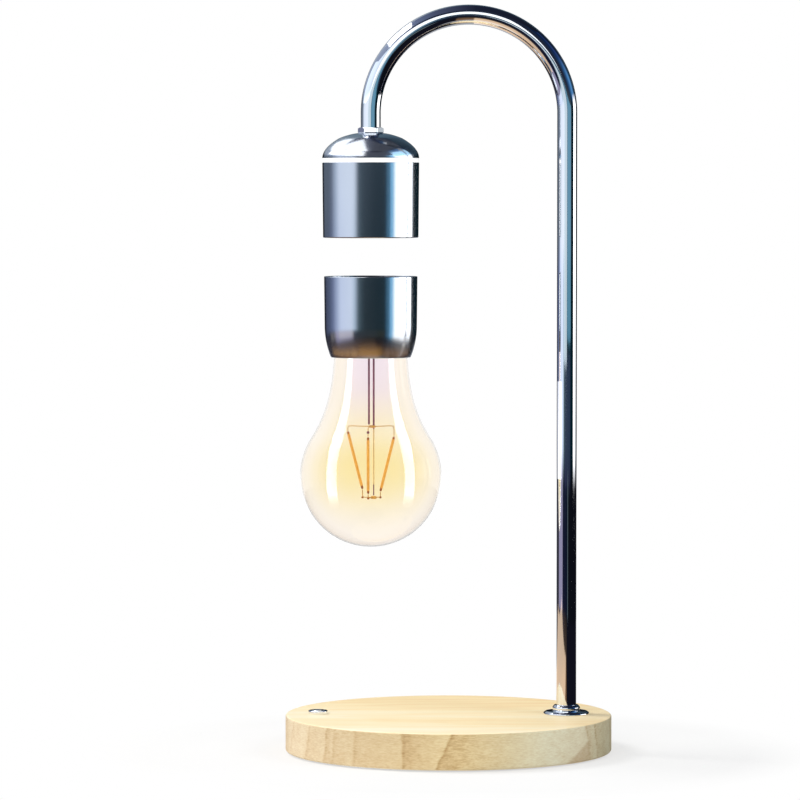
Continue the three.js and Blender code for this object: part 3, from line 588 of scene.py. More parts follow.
def wood_rim(s, x, y, z):
    """Growth lines at uneven distances round the edge, some upright and some slanted."""
    round_way = s.times(s.azimuth(x, y), BASE_RADIUS)
    share = s.span(round_way, -RIM_HALF, RIM_HALF)
    slant = s.ramp(share, [
        (0, grey(0.5)), (0.33, grey(0.72)), (0.4, grey(0.52)), (0.455, grey(0.51)),
        (0.49, grey(0.8)), (0.56, grey(0.7)), (0.66, grey(0.35)), (1, grey(0.5)),
    ])
    lean = s.times(s.minus(slant, 0.5), s.minus(z, 10))
    wave = s.noise((0.05, 0.05, 0.09), 2)
    along = s.add(s.minus(round_way, s.times(lean, 1.5)), s.spread(wave, -0.9, 0.9))
    growth = s.ramp_chain(s.span(along, -RIM_HALF, RIM_HALF), growth_stops())
    dashes = s.noise((0.42, 0.42, 2.1), 3, 0.62)
    blotch = s.noise((0.16, 0.16, 0.25), 3, 0.6)
    tone = s.add(s.times(growth, 0.62), s.spread(dashes, -0.16, 0.22), s.spread(blotch, -0.05, 0.16))
    rim = s.ramp(tone, [
        (0, rgb(246, 231, 202)), (0.4, rgb(229, 206, 170)), (0.8, rgb(190, 154, 108)),
    ])
    # Partly the wood's own colour round the rim, and partly painted light and shade:
    # lighter on the left, greyer and darker on the right
    tint_and_shade = s.ramp(share, [
        (0, rgb(236, 236, 228)), (0.3, rgb(254, 254, 252)), (0.38, rgb(226, 218, 198)),
        (0.46, rgb(230, 220, 188)), (0.51, rgb(240, 236, 202)), (0.56, rgb(224, 228, 210)),
        (0.6, rgb(226, 242, 244)), (0.645, rgb(224, 234, 232)), (0.69, rgb(197, 210, 202)),
        (1, rgb(236, 236, 228)),
    ])
    # A darker corner of a block, low at the right
    below = s.minus(z, s.times(s.minus(round_way, 64), 0.55))
    corner = s.times(s.span(below, 2, 0.6), s.span(round_way, 84, 81))
    corner = s.times(corner, s.span(round_way, 62, 66))
    darker = s.mix(1, tint_and_shade, (*rgb(222, 206, 190), 1), "MULTIPLY")
    return s.mix(0.75, rim, s.mix(corner, tint_and_shade, darker), "MULTIPLY"), dashes


def wood_material():
    s = Shader("wood")
    x, y, z = s.axes()
    top, fibre, fine = wood_top(s, x, y, z)
    rim, dashes = wood_rim(s, x, y, z)

    # The top's look reaches over the rounded edge
    normal = s.node("ShaderNodeNewGeometry").outputs["Normal"]
    facing = s.node("ShaderNodeSeparateXYZ", {"Vector": normal})
    is_side = s.span(s.math("ABSOLUTE", facing.outputs["Z"]), 0.45, 0.8, 1, 0)
    s.color(s.mix(is_side, top, rim))
    s.rough(s.spread(fibre, 0.42, 0.56))
    s.bump(s.mix(is_side, fine, dashes), 0.1, 0.05)
    return s.material


def glass_material():
    """Thin clear glass with a warm cast, and a painted filament glow deepest in the middle at their
    height.
    """
    s = Shader("clear_glass", Roughness=0, IOR=1.22, Transmission_Weight=1)
    facing = s.node("ShaderNodeLayerWeight", {"Blend": 0.5}).outputs["Facing"]
    z = s.axes()[2]
    height = s.math("DIVIDE", s.minus(z, 145), 25)
    near = s.math("EXPONENT", s.times(s.times(height, height), -1))
    # Painted glow of the filaments' light: yellower where the glass faces the view, near their height
    painted_glow = s.times(near, s.span(facing, 0.05, 0.55, 1, 0))
    body = s.ramp(facing, [
        (0, (0.998, 0.962, 0.912)), (0.5, (0.998, 0.964, 0.93)), (0.8, (0.985, 0.935, 0.88)),
        (1, (0.93, 0.86, 0.76)),
    ])
    neck = s.ramp(facing, [
        (0, (0.95, 0.89, 0.925)), (0.1, (0.96, 0.9, 0.925)), (0.2, (0.995, 0.955, 0.9)),
        (0.8, (0.985, 0.93, 0.86)), (1, (0.93, 0.86, 0.76)),
    ])
    body = s.mix(s.span(z, 158, 182), body, neck)
    # The painted glow mixes a yellow into the glass colour
    s.color(s.mix(painted_glow, body, (0.99, 0.9, 0.635, 1)))
    return s.material


def filament_material():
    s = Shader("filament", Roughness=0.5)
    beads = s.noise((1.6, 1.6, 0.9), 2)
    s.color(s.shades(beads, (0.26, 0.11, 0.02), (0.36, 0.17, 0.03)))
    s.glow(s.shades(beads, rgb(236, 166, 66), rgb(250, 196, 104)), 0.54)
    return s.material


def ring_material():
    s = Shader("white_ring", Roughness=0.35)
    pale = s.shades(s.noise((0.3, 0.3, 0.3), 2), (0.9, 0.9, 0.89), (0.95, 0.95, 0.94))
    s.color(pale)
    s.glow(pale, 0.5)
    return s.material


# Darkest and palest colour, lowest and highest roughness, and the scale of the grain
PLASTICS = {
    "black_plastic": ((0.012, 0.012, 0.014), (0.022, 0.022, 0.025), 0.42, 0.6),
    "white_plastic": ((0.8, 0.8, 0.78), (0.88, 0.88, 0.86), 0.3, 0.42),
    "rubber": ((0.018, 0.018, 0.02), (0.03, 0.03, 0.033), 0.7, 0.9, 1.4),
    "cable_sheath": ((0.02, 0.02, 0.023), (0.035, 0.035, 0.04), 0.5, 0.65),
    "ferrite": ((0.045, 0.045, 0.05), (0.075, 0.075, 0.08), 0.6, 0.8, 1),
}

# The same for metals, and how metallic they are
METALS = {
    "iron": ((0.22, 0.22, 0.235), (0.34, 0.34, 0.36), 0.3, 0.45),
    "magnet": ((0.55, 0.55, 0.57), (0.66, 0.66, 0.68), 0.16, 0.24),
    "lead_wire": (rgb(112, 60, 86), rgb(146, 92, 104), 0.3, 0.42, 1.5, 0.4),
    "gold_wire": (rgb(186, 132, 62), rgb(226, 178, 104), 0.26, 0.4, 1.5, 0.4),
    "pale_lead": (rgb(200, 160, 104), rgb(236, 208, 160), 0.28, 0.4, 1.5, 0.4),
    "filament_tip": (rgb(132, 66, 30), rgb(178, 100, 46), 0.3, 0.45, 1.5, 0.4),
}

# By the slot of the CAD frame, and two more
MATERIALS = {
    "wood": wood_material(),
    "chrome": chrome_material(),
    "satin_aluminium": satin_material(),
    "zinc_steel": zinc_material(),
    "circuit_board": board_material(),
    "copper": winding_material(),
    "filament": filament_material(),
    "clear_glass": glass_material(),
    **{name: plastic_material(name, *look) for name, look in PLASTICS.items()},
    **{name: metal_material(name, *look) for name, look in METALS.items()},
}
LEAD = MATERIALS["lead_wire"]
TIP = MATERIALS["filament_tip"]

for part in frame["record"]["subparts"]:
    node = NODES[part["node"]]
    node.data.materials.clear()
    paint(node, MATERIALS[part["material_slot"]])


# Base

def drill(name, radius, low, high, x, segments):
    return lathe(name, [(0, low), (radius, low), (radius, high), (0, high)], x=x, segments=segments)


def wooden_base():
    """The round base with its rounded edges, the hollow under it, and its holes."""
    outline = fillet([
        (0, 12.5, 0), (68, 12.5, 0.4), (68, 3.9, 0), (76.8, 3.9, 0), (76.8, 0.8, 0.3),
        (BASE_RADIUS, 0.8, 1), (BASE_RADIUS, BASE_TOP, 1), (0, BASE_TOP, 0),
    ], 8)
    base = lathe("wooden_base", outline, segments=288)
    cutters = [
        drill("cut_arm_pocket", 13, -1, 12.5, ARM_X, 64),
        drill("cut_button_pocket", 8.8, -1, 12.5, BUTTON_X, 64),
        drill("cut_arm_hole", TUBE_HOLE, 9, 30, ARM_X, 48),
        drill("cut_button_hole", 4.4, 9, 30, BUTTON_X, 48),
        pipe("cut_inlet", [(0, 60, INLET_Z), (0, 90, INLET_Z)], 4.2, 48),
        pipe("cut_inlet_ring", [(0, 79, INLET_Z), (0, 90, INLET_Z)], 5.5, 64),
    ]
    return carved(base, cutters, 28)


place(wooden_base(), "root", "wood", "wood_base")

foot_outline = fillet([(0, 0, 0), (5.2, 0, 0.3), (6, 0.8, 0.4), (6, 1.9, 0.1), (5.8, 2, 0), (0, 2, 0)], 4)
for number in range(1, 5):
    low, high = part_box(f"foot_{number}")
    middle = (low + high) / 2 / MM
    foot = lathe(f"foot_pad_{number}", foot_outline, x=middle.x, y=middle.y, segments=48)
    place(foot, "root", "rubber", f"foot_{number}")


# Button

def press_button():
    """The bezel in the base and the cap with its dished crown, which has room over its spring."""
    bezel = turned("button_rim", [
        (3.5, 12.8, 0), (4.1, 12.8, 0), (4.1, BASE_TOP, 0), (4.9, BASE_TOP, 0.62), (4.9, 20.8, 0.85),
        (3.72, 20.8, 0.2), (3.5, 20.5, 0),
    ], 8, BUTTON_X, 0, 96, "root", "chrome", "button_bezel")
    crown = bezier([(3.2, 20.35), (3.2, 20.95), (2.75, 21.1), (2.3, 20.98)], 8)
    crown += bezier([(2.3, 20.98), (1.6, 20.8), (0.8, 20.74), (0, 20.74)], 6)[1:]
    cap = lathe("button_top", [
        (0, 12.1), (1.4, 12.1), (1.4, 18.75), (2.9, 18.75), (3.2, 19), *crown,
    ], x=BUTTON_X, segments=96)
    return [bezel, place(cap, "button", "chrome", "button_cap")]


button_pieces = press_button()


# Arm

def arm_route(steps=160):
    """The tube's middle line: up, round the arch and down into the head."""
    out = [(ARM_X, 0, TUBE_FOOT_Z), (ARM_X, 0, 60), (ARM_X, 0, 180), (ARM_X, 0, 300)]
    for k in range(steps + 1):
        angle = pi * k / steps
        out.append((ARCH_X + ARCH_RADIUS * cos(angle), 0, ARCH_Z + ARCH_RADIUS * sin(angle)))
    return out + [(BULB_X, 0, 312), (BULB_X, 0, TUBE_END_Z)]


tube = pipe("chrome_tube", arm_route(), TUBE_RADIUS, 128, bore=TUBE_BORE)
place(tube, "root", "chrome", "arm_tube")

turned("foot_flange", [
    (TUBE_HOLE, BASE_TOP, 0), (11.3, BASE_TOP, 0.1), (11.6, 19.25, 0.2), (11.5, 19.75, 0.5),
    (10.4, 20.55, 1.6), (8.2, 20.9, 1.5), (TUBE_HOLE, 20.9, 0),
], 7, ARM_X, 0, 128, "root", "chrome", "base_flange")

turned("foot_collar", [
    (TUBE_HOLE, 20.9, 0), (6.8, 20.9, 0.2), (7, 21.3, 0.4), (7, 22.5, 1.1), (6, 23.6, 0.6),
    (TUBE_HOLE, 23.7, 0.15),
], 7, ARM_X, 0, 128, "root", "chrome", "flange_collar")


# Head

NUT_Z = 310.8
NUT_HEIGHT = 2.9
NUT_WIDE = 6.5
NUT_CORNER = 6.54
NUT_FLAT = NUT_CORNER * cos(pi / 6)
CHAMFER_START = 5.55
CHAMFER_SLOPE = 0.6
DOME_HEIGHT = 12.55
DOME_WALL = 1.5


def hexagon(r, h, angle):
    """Turns the nut's round outline into a hexagon whose corners are chamfered at the top."""
    if r < NUT_FLAT - 0.2:
        return r, h
    around = (angle + pi / 6) % (pi / 3) - pi / 6
    away = pi / 6 - abs(around)
    radius = min(NUT_FLAT / cos(away), NUT_CORNER - 0.08) * r / NUT_WIDE
    if h > NUT_HEIGHT - 0.7:
        h = min(h, NUT_HEIGHT - max(0, radius - CHAMFER_START) * CHAMFER_SLOPE)
    return radius, h


head_nut = lathe("head_nut", [
    (TUBE_HOLE, 0), (6.2, 0), (NUT_WIDE, 0.5), (NUT_WIDE, 0.6), (NUT_WIDE, 2.2), (NUT_WIDE, NUT_HEIGHT),
    (5.45, NUT_HEIGHT), (TUBE_HOLE, 2.78),
], x=BULB_X, z=NUT_Z, segments=144, bend=hexagon, smooth_angle=20)
place(head_nut, "root", "chrome", "head_collar_nut")


def dome_outline(inset):
    """The dome's line from its edge up to the nut, drawn in by inset."""
    wide = (HEAD_RADIUS - inset) / HEAD_RADIUS
    high = (DOME_HEIGHT - inset) / DOME_HEIGHT
    shoulder = bezier([(HEAD_RADIUS, 0), (HEAD_RADIUS, 5.25), (15.7, 10.1)], 20)
    crown = bezier([(15.7, 10.1), (11.35, 11.92), (7, DOME_HEIGHT)], 10)[1:]
    return [(r * wide, h * high) for r, h in shoulder + crown]


# The dome's outer edge has a fine bevel
dome = lathe("head_dome", [
    (24.14, 0), (24.25, 0.16), *dome_outline(0)[1:], (TUBE_HOLE, DOME_HEIGHT),
    (TUBE_HOLE, DOME_HEIGHT - DOME_WALL), *dome_outline(DOME_WALL)[::-1],
], x=BULB_X, z=HEAD_Z + RING_TOP, segments=192)
place(dome, "root", "satin_aluminium", "dome_cap")

turned("glow_ring", [
    (15.56, RING_FOOT, 0), (HEAD_RADIUS, RING_FOOT, 0.12), (HEAD_RADIUS, RING_TOP, 0.12),
    (15.56, RING_TOP, 0),
], 3, BULB_X, HEAD_Z, 192, "root", "white_plastic", "light_ring", ring_material())

turned("head_body", [
    (22.7, 0, 0.25), (23.9, 0, 0.7), (HEAD_RADIUS, RING_FOOT, 0.14), (16.56, RING_FOOT, 0),
    (16.56, 36.35, 0), (23.06, 36.35, 0),
], 6, BULB_X, HEAD_Z, 192, "root", "satin_aluminium", "head_shell")

turned("head_underside", [
    (0, 0.3, 0), (8, 0.3, 0.1), (8.3, 0.55, 0.1), (20.4, 0.55, 0.1), (20.7, 0.3, 0.1), (22.4, 0.3, 0.3),
    (22.4, 1.9, 0), (0, 1.9, 0),
], 4, BULB_X, HEAD_Z, 128, "root", "black_plastic", "head_bottom_cover")


# Floating unit
taper = bezier([(20.23, 0.5), (21.5, 3.9), (22.23, 7.3)], 8)[1:]
bend_to_wall = bezier([(22.23, 7.3), (23.1, 11.4), (23.13, 15.5)], 14)[1:]
cup = lathe("bulb_socket", [
    (18.7, 0), *arc(19.62, 0.5, 0.5, -90, -12, 5), *taper, *bend_to_wall,
    *arc(23.1, 40.3, 0.3, 0, 90, 4), *arc(22.4, 40.3, 0.3, 90, 180, 4),
    (21.83, 13.5), (20.93, 7.5), (18.7, 1.3),
], x=BULB_X, z=CUP_Z, segments=192)
place(cup, "bulb", "satin_aluminium", "bulb_cup")

turned("socket_lid", [
    (0, 38.6, 0), (21.5, 38.6, 0), (21.5, 40.2, 0.3), (19.6, 40.2, 0.15), (19.3, 39.95, 0.15),
    (4, 39.95, 0.1), (3.7, 40.2, 0.1), (0, 40.2, 0),
], 4, BULB_X, CUP_Z, 128, "bulb", "black_plastic", "cup_lid")


def glass_outline(inset):
    """The bulb's line from its lowest point to the neck inside the cup."""
    shoulder = 33
    radius = GLASS_RADIUS - inset
    neck = 18.4 - inset
    ball = arc(0, -GLASS_DROP, radius, -90, shoulder, 56)
    ball[0] = (0, -GLASS_DROP - radius)
    start = Vector(ball[-1])
    tangent = Vector((-sin(radians(shoulder)), cos(radians(shoulder))))
    curve = bezier([start, start + 14 * tangent, (neck + 1, -16), (neck, 0)], 30)
    return [*ball, *curve[1:], (neck - 0.3, 10)]


glass = lathe("glass_bulb", [*glass_outline(0), *glass_outline(GLASS_WALL)[::-1]], x=BULB_X, z=CUP_Z,
              smooth_angle=60)
place(glass, "bulb", "clear_glass", "glass_envelope")
for clear in (glass, NODES["glass_stem"]):
    clear.visible_shadow = False
    clear.visible_diffuse = False

# Lead rods: place across the bulb, lower end from the cup's foot, and name. The long one
# is thin below the hanger, and pale there but for its foot.
lead_points = {
    "top_lead_wire": (-0.95, -34, "lead_rod_top"),
    "bottom_lead_wire": (1.45, -69.5, "lead_rod_bottom"),
}
for node_name, (offset, bottom, name) in lead_points.items():
    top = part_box(node_name)[1].z / MM
    low = CUP_Z + bottom
    heights = [
        (low, 0.05), (low + 0.1, 0.3), (low + 5.5, 0.3), (162.4, 0.3), (164.5, 0.5), (top - 0.1, 0.5),
        (top, 0.4),
    ]
    if low > 163:
        heights = [(low, 0.05), (low + 0.15, 0.4), (low + 0.5, 0.5), (top - 0.1, 0.5), (top, 0.4)]
    rod = pipe(name, [(BULB_X + offset, 0, z) for z, _ in heights], [r for _, r in heights], 20)
    paint(rod, LEAD, MATERIALS["pale_lead"])
    for face in rod.data.polygons:
        if low + 5.4 < face.center.z / MM < 163:
            face.material_index = 1
    place(rod, "bulb", "lead_wire", node_name)

# Upper and lower ends of the three filaments: X and Y from the bulb's axis, and how far
# below the cup's foot
TOPS = [(-11.65, 6.7, 37.7), (11.65, 6.7, 40.4), (-1.3, -13, 39.6)]
BOTTOMS = [(-4.2, 2.6, 66.4), (4.8, 2.6, 67.6), (-1.3, -5, 68.3)]


def in_bulb(x, y, drop):
    return Vector((BULB_X + x, y, CUP_Z - drop))


def spoke_points(hub_x, hub_drop, tip, tip_gap, steps=14):
    """A wire that leaves its hub level and bends into the end of a filament."""
    x, y, drop = tip
    line = [
        Vector((hub_x + (x - hub_x) * share, y * share, -hub_drop)) for share in (0.08, 0.5, 0.86, 0.97)
    ]
    end = Vector((x, y, -drop + tip_gap))
    knee = Vector((x, y, (-hub_drop * 2 + end.z) / 3))
    path = [*line[:3], line[3].lerp(knee, 0.5), end]
    out = []
    count = len(path) - 1
    for k in range(steps + 1):
        t = k / steps * count
        i = min(int(t), count - 1)
        f = t - i
        p0, p1 = path[max(i - 1, 0)], path[i]
        p2, p3 = path[i + 1], path[min(i + 2, count)]
        q = 0.5 * ((2 * p1) + (p2 - p0) * f + (2 * p0 - 5 * p1 + 4 * p2 - p3) * f * f
                   + (3 * p1 - p0 - 3 * p2 + p3) * f ** 3)
        out.append(in_bulb(q.x, q.y, -q.z))
    return out


def wire_frame(name, hub_x, drop, radius, height, tips, gap, beads):
    """A turned hub, the spokes that hold the filaments, and the beads where the spokes bend."""
    hub = fillet([
        (0, -height, 0), (radius * 0.8, -height, 0.1), (radius, -height * 0.6, 0.2),
        (radius, -height * 0.4, 0.2), (radius * 0.8, 0, 0.1), (0, 0, 0),
    ], 4)
    parts = [lathe(name + "_hub", hub, x=BULB_X + hub_x, z=CUP_Z - drop, segments=32)]
    for number, tip in enumerate(tips):
        points = spoke_points(hub_x, drop + height / 2, tip, gap)
        parts.append(pipe(f"{name}_spoke_{number}", points, 0.22, 12))
    for part in parts:
        paint(part, MATERIALS["gold_wire"])
    for number, (x, y, level, size, material) in enumerate(beads):
        outline = [(0, -size), *arc(0, 0, size, -75, 75, 10), (0, size)]
        bead = lathe(f"{name}_bead_{number}", outline, BULB_X + x, y, CUP_Z - level, 20, closed=False)
        paint(bead, material)
        parts.append(bead)
    return joined(name, parts)


HANGER_BEADS = [(-1.3, -13, 37.2, 0.72, LEAD)]
HUB_BEADS = [(x, y, 70.6, 0.6, TIP) for x, y, _ in BOTTOMS]
hanger = wire_frame("hanger_wires", 0.6, 34.3, 2, 1.2, TOPS, 0.3, HANGER_BEADS)
place(hanger, "bulb", "gold_wire", "filament_hanger")
hub = wire_frame("hub_wires", 1.45, 69.8, 1.6, 1.4, BOTTOMS, -0.3, HUB_BEADS)
place(hub, "bulb", "gold_wire", "filament_hub")

for side, top, bottom in zip(("left", "right", "front"), TOPS, BOTTOMS):
    a, b = in_bulb(*top), in_bulb(*bottom)
    way = (b - a).normalized()
    stick = bar(f"stick_{side}", a + way, b - way * 1.3, 0.72, 20,
                lambda share: 0.035 * sin(share * 120))
    paint(stick, MATERIALS["filament"])
    tips = []
    for number, (start, end) in enumerate(((a, a + way * 2.6), (b - way * 2.6, b))):
        tip = bar(f"tip_{side}_{number}", start, end, 0.6, 14)
        paint(tip, TIP)
        tips.append(tip)
    piece = joined(f"glow_filament_{side}", [stick, *tips])
    place(piece, "bulb", "filament", f"filament_{side}")


# Inlet: an outline of (radius, Y), turned round Z and then laid along Y
inlet_outline = fillet([
    (4.2, 79.3, 0), (5.2, 79.3, 0), (5.2, 81.4, 0.4), (4.5, 81.4, 0.3), (4.2, 81.1, 0),
], 4)
trim = lathe("inlet_trim", [(r, -y) for r, y in inlet_outline], segments=96)
for vertex in trim.data.vertices:
    x, y, z = vertex.co
    vertex.co = (x, -z, y + INLET_Z * MM)
place(trim, "root", "chrome", "inlet_ring")


# Floor: white to the camera and in reflections, and it keeps the lamp's shadow

def floor_material():
    s = Shader("floor", Roughness=0.9)
    s.color(s.shades(s.noise((0.01, 0.01, 0.01), 2), grey(0.8), grey(0.82)))
    seen = s.seen_directly()
    x, y, _ = s.axes()
    fade = s.span(s.length(x, y), 95, 185)
    white = s.node("ShaderNodeEmission", {"Color": (1, 1, 1, 1), "Strength": 1})
    share = s.times(seen, s.math("MAXIMUM", fade, 0.62))
    mixed = s.node("ShaderNodeMixShader", {"Fac": share, 1: s.surface.outputs[0], 2: white.outputs[0]})
    s.show(mixed.outputs[0])
    return s.material


floor = lathe("floor", [(0, 0), (60, 0), (120, 0), (200, 0)], segments=96, closed=False)
paint(floor, floor_material())


# World: white to the camera, in reflections and through glass, and a plain fill light
FILL = 0.485


def studio_world():
    world = bpy.data.worlds.new("studio")
    scene.world = world
    world.use_nodes = True
    s = Nodes(world.node_tree)
    s.tree.nodes.clear()
    seen = s.seen_directly()
    backdrop = s.node("ShaderNodeBackground", {"Color": (1, 1, 1, 1), "Strength": 1})
    fill = s.node("ShaderNodeBackground", {"Color": (0.98, 0.99, 1, 1), "Strength": FILL})
    mixed = s.node("ShaderNodeMixShader", {"Fac": seen, 1: fill.outputs[0], 2: backdrop.outputs[0]})
    s.node("ShaderNodeOutputWorld")
    s.show(mixed.outputs[0])


studio_world()


# Studio cards round the lamp, which only its metal reflects
TENT_RADIUS = 1600
TENT_FOOT = -600
TENT_TOP = 2200
FLOOR_CARD_RADIUS = 710


def card(name, outline, build):
    """A self-lit surface turned from outline, whose colour build() works out from its place."""
    s = Shader(name)
    glow = s.node("ShaderNodeEmission", {"Color": build(s, *s.axes()), "Strength": 1})
    s.show(glow.outputs[0])
    s.tree.nodes.remove(s.surface)
    s.material.cycles.emission_sampling = "NONE"
    obj = lathe(name, outline, segments=96, closed=False)
    paint(obj, s.material)
    for ray in ("camera", "diffuse", "transmission", "volume_scatter", "shadow"):
        setattr(obj, f"visible_{ray}", False)


def tent_colors(s, x, y, z):
    """Bands of light and shade by direction, in four heights, and a ceiling."""
    turn = s.span(s.times(s.azimuth(x, y), 180 / pi), -180, 180)

    def band(stops):
        return s.ramp(turn, [((degrees + 180) / 360, color) for degrees, color in stops])

    edge, haze, slate = (0.01, 0.012, 0.016), (0.125, 0.155, 0.2), (0.045, 0.066, 0.088)
    white, night = grey(2), (0, 0.01, 0.016)
    right_hand = [
        (55, night), (75, night), (78, white), (114, white), (117, night), (165, night), (172, edge),
    ]
    level = band([
        (-180, edge), (-152, edge), (-144, haze), (-118, haze), (-107, (0.16, 0.19, 0.25)),
        (-93, (0.47, 0.55, 0.67)), (-80, (0.84, 0.92, 1.06)), (-60, (0.88, 0.96, 1.08)),
        (-40, (0.95, 1.02, 1.16)), (-30, (0.085, 0.115, 0.15)), (10, slate), (46, (0.035, 0.055, 0.075)),
        *right_hand,
    ])
    lower = band([
        (-180, edge), (-152, edge), (-144, (0.06, 0.07, 0.12)), (-120, (0.1, 0.13, 0.23)),
        (-107, (0.18, 0.22, 0.38)), (-93, (0.42, 0.5, 0.72)), (-80, (0.74, 0.83, 1.06)),
        (-50, (0.84, 0.94, 1.12)), (-42, (0.6, 0.74, 0.9)), (-32, (0.075, 0.125, 0.15)),
        (-16, (0.018, 0.034, 0.042)), (30, (0.004, 0.02, 0.03)), *right_hand,
    ])
    low = band([
        (-180, (0.5, 0.53, 0.58)), (-164, (0.42, 0.45, 0.52)), (-156, (0.03, 0.03, 0.04)),
        (-104, (0.03, 0.03, 0.045)), (-97, (0.3, 0.28, 0.42)), (-50, (0.3, 0.28, 0.42)),
        (-44, (0.008, 0.01, 0.03)), (10, (0.006, 0.01, 0.022)), (20, (0.004, 0.005, 0.008)),
        (156, (0.004, 0.004, 0.008)), (164, (0.42, 0.45, 0.52)), (180, (0.5, 0.53, 0.58)),
    ])
    high = band([
        (-180, (0.1, 0.16, 0.21)), (-165, (0.26, 0.32, 0.38)), (-150, (0.42, 0.47, 0.55)),
        (-110, (0.3, 0.36, 0.5)), (-60, (0.27, 0.32, 0.46)), (-38, (0.1, 0.13, 0.22)),
        (-20, (0.02, 0.025, 0.05)), (40, (0.015, 0.02, 0.04)), (60, (0.02, 0.08, 0.2)),
        (90, (0.1, 0.3, 0.62)), (108, (0.02, 0.05, 0.09)), (150, (0.03, 0.05, 0.07)),
        (170, (0.06, 0.1, 0.14)), (180, (0.1, 0.16, 0.21)),
    ])

    # On the right, the high band fades towards the top of the tent
    fall = s.ramp(s.span(z, 600, TENT_TOP), [
        (0, grey(1)), (0.2, grey(1)), (0.45, (0.3, 0.22, 0.35)), (0.8, (0.15, 0.12, 0.2)),
    ])
    right_side = s.ramp(turn, [(0.6, grey(0)), (0.66, grey(1)), (0.84, grey(1)), (0.9, grey(0))])
    high = s.mix(right_side, high, s.mix(1, high, fall, "MULTIPLY"))
    color = s.mix(s.span(z, 240, 212), level, lower)
    color = s.mix(s.span(z, 470, 640), color, high)
    color = s.mix(s.span(z, 60, 30), color, low)
    ceiling = s.ramp(s.span(x, -TENT_RADIUS, TENT_RADIUS), [
        (0, (0.2, 0.24, 0.36)), (0.16, (0.14, 0.18, 0.3)), (0.32, (0.07, 0.085, 0.15)),
        (0.46, (0.035, 0.042, 0.08)), (0.55, (0.012, 0.016, 0.035)), (1, (0.008, 0.01, 0.02)),
    ])
    return s.mix(s.math("GREATER_THAN", z, TENT_TOP - 5), color, ceiling)


def floor_card_colors(s, x, y, z):
    """Warm round the lamp, black to its right, and pale behind it and in a patch before the bulb."""
    warm = s.ramp(s.span(s.length(x, y), 0, 900), [
        (0, (0.24, 0.13, 0.07)), (0.36, (0.2, 0.11, 0.06)), (0.52, (0.06, 0.04, 0.03)),
        (0.8, (0.022, 0.018, 0.016)), (1, (0.012, 0.012, 0.014)),
    ])
    from_bulb = s.math("ABSOLUTE", s.minus(x, BULB_X))
    side = s.span(from_bulb, 110, 330)
    color = s.mix(s.times(side, 0.8), warm, (0.06, 0.045, 0.05, 1))
    color = s.mix(s.span(x, 62, 66), color, (0.006, 0.006, 0.012, 1))
    behind = s.minus(y, s.times(s.math("ABSOLUTE", x), 1.2))
    color = s.mix(s.span(behind, 60, 160), color, (0.4, 0.41, 0.43, 1))
    before = s.times(s.span(s.length(from_bulb, y), 205, 175), s.span(y, -60, -90))
    return s.mix(before, color, (0.4, 0.4, 0.41, 1))


card("card_tent", [(TENT_RADIUS, TENT_FOOT), (TENT_RADIUS, TENT_TOP), (0, TENT_TOP)], tent_colors)
card("card_floor", [(0, 0.3), (200, 0.3), (FLOOR_CARD_RADIUS, 0.3)], floor_card_colors)


# Lights
PLAIN = (1, 1, 1)
PANEL_DISTANCE = 1.4
WIDEST_PANEL = 50


def softbox(name, location, target, width, height, power, color=PLAIN, glossy=False):
    light = bpy.data.lights.new(name, "AREA")
    light.shape = "RECTANGLE"
    light.size, light.size_y = width, height
    light.energy = power
    light.color = color
    obj = add_object(name, light)
    obj.location = location
    obj.rotation_euler = (Vector(target) - Vector(location)).to_track_quat("-Z", "Y").to_euler()
    obj.visible_camera = False
    obj.visible_transmission = False
    obj.visible_glossy = glossy
    return obj


softbox("key", (-1.1, 0.25, 1.6), (0, 0, 0.05), 0.7, 0.7, 23.4, (1, 0.99, 0.97))
softbox("side", (1.3, -0.7, 1.2), (0.05, 0, 0.02), 0.8, 0.8, 9.2, (0.98, 0.99, 1))
softbox("front", (-0.9, -1.8, 0.9), (0, 0, 0.1), 1.2, 0.9, 17.2, (1, 0.99, 0.98))


def made_of(slot):
    meshes = [obj for obj in scene.objects if obj.type == "MESH"]
    return [obj for obj in meshes if MATERIALS[slot].name in obj.data.materials]


# Pieces that have lights of their own
MEMBERS = {
    "glass": [glass],
    "satin": made_of("satin_aluminium"),
    "chrome": made_of("chrome"),
    "nut": [head_nut],
    "button": button_pieces,
}
GROUPS = {name: bpy.data.collections.new(f"{name}_only") for name in MEMBERS}
for name, members in MEMBERS.items():
    for member in members:
        GROUPS[name].objects.link(member)


def group_light(group, name, spot, target, width, height, radiance, color=PLAIN):
    """A panel of even radiance that only a group is lit by and mirrors. All in metres."""
    power = radiance * pi * width * height
    light = softbox(f"{group}_{name}", spot, target, width, height, power, color, glossy=True)
    light.light_linking.receiver_collection = GROUPS[group]
    return light


def upright_lights(group, middle, rows):
    """Tall panels side by side round a middle given in millimetres, each row between two
    azimuths in degrees and two heights in metres, with its radiance and its colour."""
    middle = middle * MM
    for name, (start, end), (low, high), radiance, *color in rows:
        count = ceil((end - start) / WIDEST_PANEL)
        share = (end - start) / count
        width = 2 * PANEL_DISTANCE * tan(radians(share) / 2)
        level = (low + high) / 2
        for number in range(count):
            turn = radians(start + share * (number + 0.5))
            spot = (middle + PANEL_DISTANCE * sin(turn), -PANEL_DISTANCE * cos(turn), level)
            group_light(group, f"{name}_{number}", spot, (middle, 0, level), width, high - low,
                        radiance, *color)


def facing_light(group, name, spot, target, *look):
    """A panel at a place in millimetres that faces a target."""
    group_light(group, name, Vector(spot) * MM, Vector(target) * MM, *look)


def level_light(group, name, spot, *look):
    """A level panel at a place in millimetres: near the floor it faces up, over the lamp down."""
    x, y, z = spot
    facing_light(group, name, spot, (x, y, 0 if z > HEAD_Z else HEAD_Z), *look)


